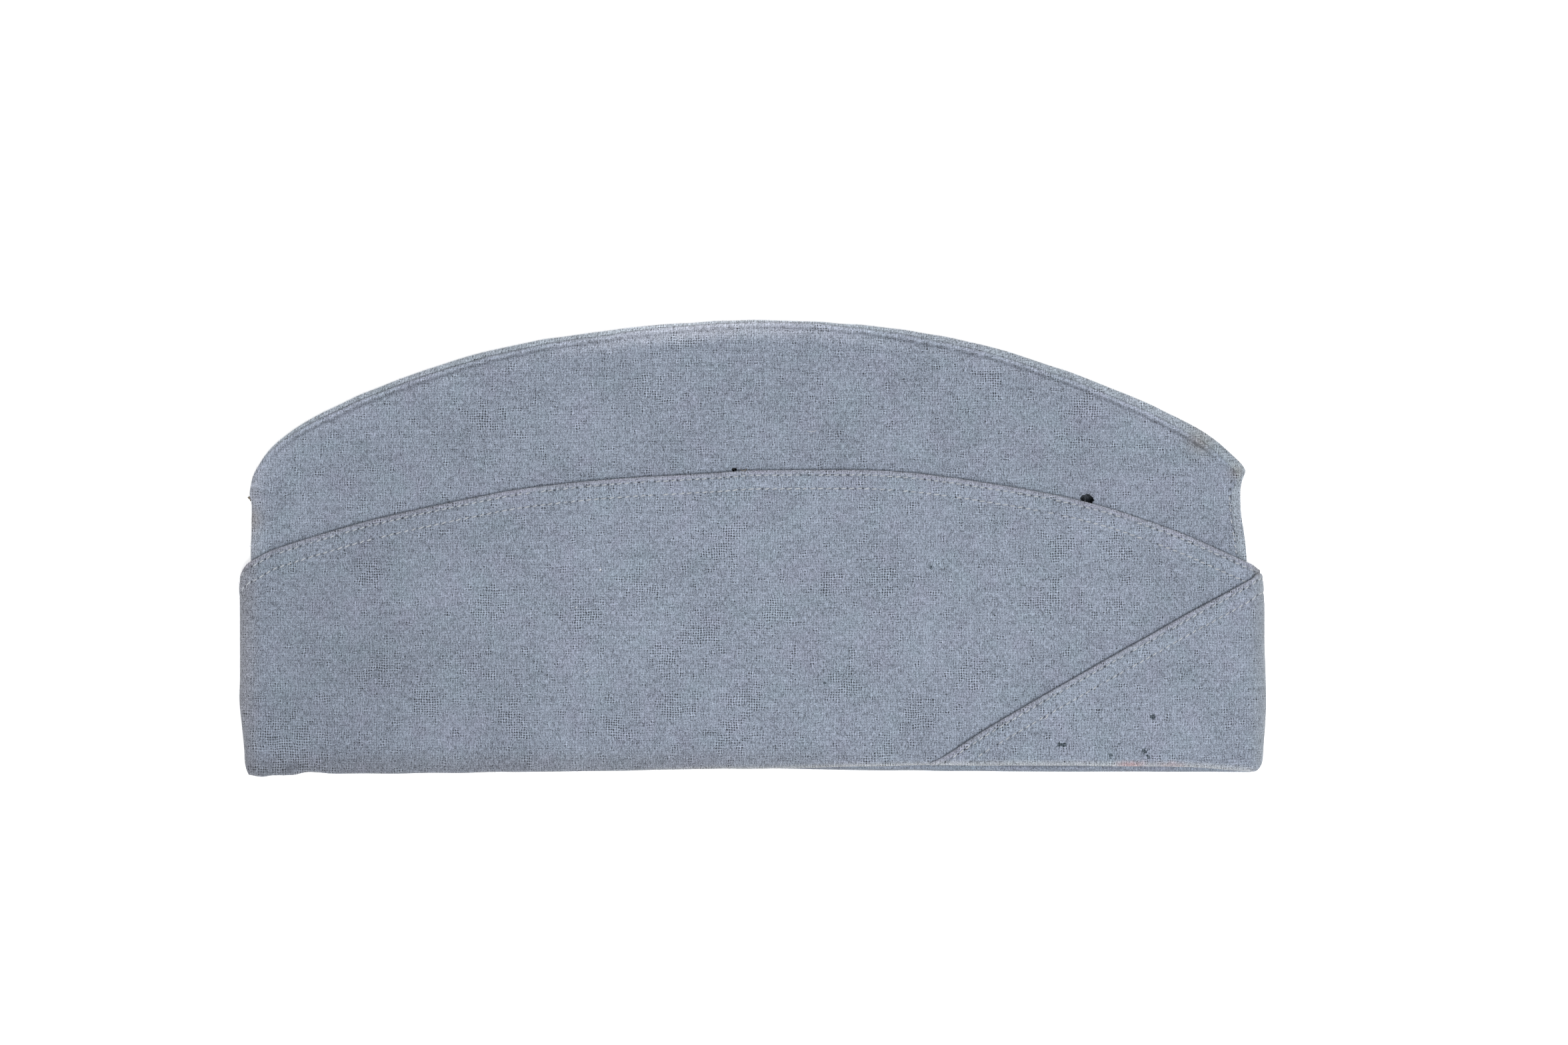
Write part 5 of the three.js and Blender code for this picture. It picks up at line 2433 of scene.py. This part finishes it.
@dataclass(frozen=True)
class LooseEnds:
    """Lint and ends of thread that lie on the cloth."""

    lint: tuple[LooseEnd, ...] = (
        LooseEnd(-42.0, -5.8, 1.2, 0.75, 0.24), LooseEnd(-48.7, -16.3, 0.9, 0.5, 0.13),
        LooseEnd(-45.7, -34.1, 0.6, 1.9, 0.06), LooseEnd(16.8, 32.6, 0.1, 2.8, 0.06),
        LooseEnd(81.8, -46.8, 0.8, 1.6, 0.07),
    )
    tails: tuple[LooseEnd, ...] = (
        LooseEnd(-140.9, 14.3, 0.5, 1.0, 0.3, 0.3),
        LooseEnd(-140.7, 13.8, 2.1, 0.9, 0.22, 0.3),
        LooseEnd(-2.1, 21.7, 0.15, 1.9, 0.11, 0.3),
    )
    steps: int = 7
    sides: int = 6
    end_taper: float = 0.1
    sunk_share: float = 0.8
    drop_from: float = 40.0

    def top_of(self, pieces: Sequence[Piece], x: float, y: float) -> float:
        """Z of the highest cloth at a place.

        Args:
            pieces: The pieces of cloth.
            x: X of the place.
            y: Y of the place.

        Returns:
            The height in millimetres.
        """
        start = Vector((x * MM, y * MM, self.drop_from * MM))
        struck = [piece.ray_cast(start, Vector((0.0, 0.0, -1.0))) for piece in pieces]
        return max((spot.z / MM for hit, spot, _, _ in struck if hit), default=SHAPE.curtain_cloth)

    def line(self, end: LooseEnd, height: float) -> Array:
        """The middle line of a strand.

        Args:
            end: The strand.
            height: Z of the cloth under it.

        Returns:
            One point for each step.
        """
        share = np.linspace(-1.0, 1.0, self.steps)[:, None]
        along = np.array([math.cos(end.turn), math.sin(end.turn), 0.0]) * end.length / 2
        aside = np.array([-along[1], along[0], 0.0]) * 2 * end.curl
        lift = np.array([0.0, 0.0, height + self.sunk_share * end.radius])
        return np.array([end.x, end.y, 0.0]) + share * along + share**2 * aside + lift

    def build(self, pieces: Sequence[Piece]) -> list[Piece]:
        """Make the strands.

        Args:
            pieces: The pieces of cloth.

        Returns:
            The lint, and the ends of thread.
        """
        made = []
        for name, ends in (("lint", self.lint), ("thread_ends", self.tails)):
            lines = np.stack([self.line(end, self.top_of(pieces, end.x, end.y)) for end in ends])
            radii = np.array([end.radius for end in ends])[:, None] * tapered(self.steps, self.end_taper)
            made.append(make_threads(name, lines, radii, self.sides))
        return made

    def dress(self, lint: Piece, tails: Piece) -> None:
        """Give the strands their finishes, and set them in the frame.

        Args:
            lint: The lint.
            tails: The ends of thread.
        """
        pale = ThreadFinish("lint", (0.85, 0.86, 0.88, 1.0), (0.6, 0.62, 0.65, 1.0))
        tan = ThreadFinish("tan_thread", (0.24, 0.2, 0.15, 1.0), (0.1, 0.085, 0.06, 1.0))
        for piece, finish in ((lint, pale), (tails, tan)):
            piece.data.materials.append(finish.material())
            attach(piece, "root")


@dataclass(frozen=True)
class Studio:
    """A white floor, soft light from the lower right, and a camera straight above the cap."""

    middle: Span = (9.0, 7.3)
    frame_width: float = 440.5
    lens: float = 100.0
    sensor: float = 36.0
    key_place: Triple = (0.24, -0.36, 1.6)
    key_size: float = 0.6
    key_power: float = 18.0
    fill: float = 0.56
    floor_glow: float = 0.5
    floor_size: float = 6.0
    floor_level: float = -0.05
    clip_end: float = 20.0

    def build(self) -> None:
        """Make the floor, the lights and the camera."""
        self.add_floor()
        self.add_light()
        self.add_camera()

    def add_floor(self) -> None:
        """A white floor just under the cap."""
        half = self.floor_size / 2 / MM
        signs = ((-1, -1), (1, -1), (1, 1), (-1, 1))
        corners = np.array([(half * across, half * up, self.floor_level) for across, up in signs])
        floor = make_object("floor", corners, [[0, 1, 2, 3]])
        book = NodeBook("floor_white")
        sockets = {
            "Base Color": (0.9, 0.9, 0.9, 1.0),
            "Roughness": 0.9,
            "Emission Color": (1.0, 1.0, 1.0, 1.0),
            "Emission Strength": self.floor_glow,
        }
        floor.data.materials.append(book.close(sockets, None, 0.0, 0.0))

    def add_light(self) -> None:
        """A broad key light and an even fill from all round."""
        key = bpy.data.lights.new("key_light", "AREA")
        key.shape = "DISK"
        key.size = self.key_size
        key.energy = self.key_power
        lamp = bpy.data.objects.new("key_light", key)
        lamp.location = self.key_place
        lamp.rotation_euler = (-Vector(self.key_place)).to_track_quat("-Z", "Y").to_euler()
        bpy.context.scene.collection.objects.link(lamp)
        world = bpy.data.worlds.new("soft_room")
        world.use_nodes = True
        back = world.node_tree.nodes["Background"]
        back.inputs["Color"].default_value = (1.0, 1.0, 1.0, 1.0)
        back.inputs["Strength"].default_value = self.fill
        bpy.context.scene.world = world

    def add_camera(self) -> None:
        """A camera that looks straight down with +Y up."""
        camera = bpy.data.cameras.new("camera")
        camera.lens = self.lens
        camera.sensor_width = self.sensor
        camera.clip_end = self.clip_end
        holder = bpy.data.objects.new("camera", camera)
        distance = self.frame_width * self.lens / self.sensor
        holder.location = (self.middle[0] * MM, self.middle[1] * MM, distance * MM)
        bpy.context.scene.collection.objects.link(holder)
        bpy.context.scene.camera = holder
        bpy.context.scene.view_settings.view_transform = "Standard"


def main() -> None:
    """Build the cap piece by piece, then its floor, light and camera."""
    logging.basicConfig(level=logging.INFO, format="%(name)s: %(message)s")
    crown = Crown()
    sides = crown.build()
    crown.dress(*sides)
    curtain = Curtain()
    pieces = curtain.build()
    curtain.dress(*pieces)
    stitching = Stitching()
    stitches = stitching.build([*curtain.stitch_rows(), *crown.stitch_rows()])
    stitching.dress(stitches)
    nap = Nap()
    fibres = nap.build((*sides, *pieces))
    nap.dress(fibres)
    loose = LooseEnds()
    strands = loose.build((*sides, *pieces))
    loose.dress(*strands)
    Studio().build()
    for piece in (*sides, *pieces, stitches, fibres, *strands):
        log.info("%s has %d faces", piece.name, len(piece.data.polygons))


if __name__ == "__main__":
    main()
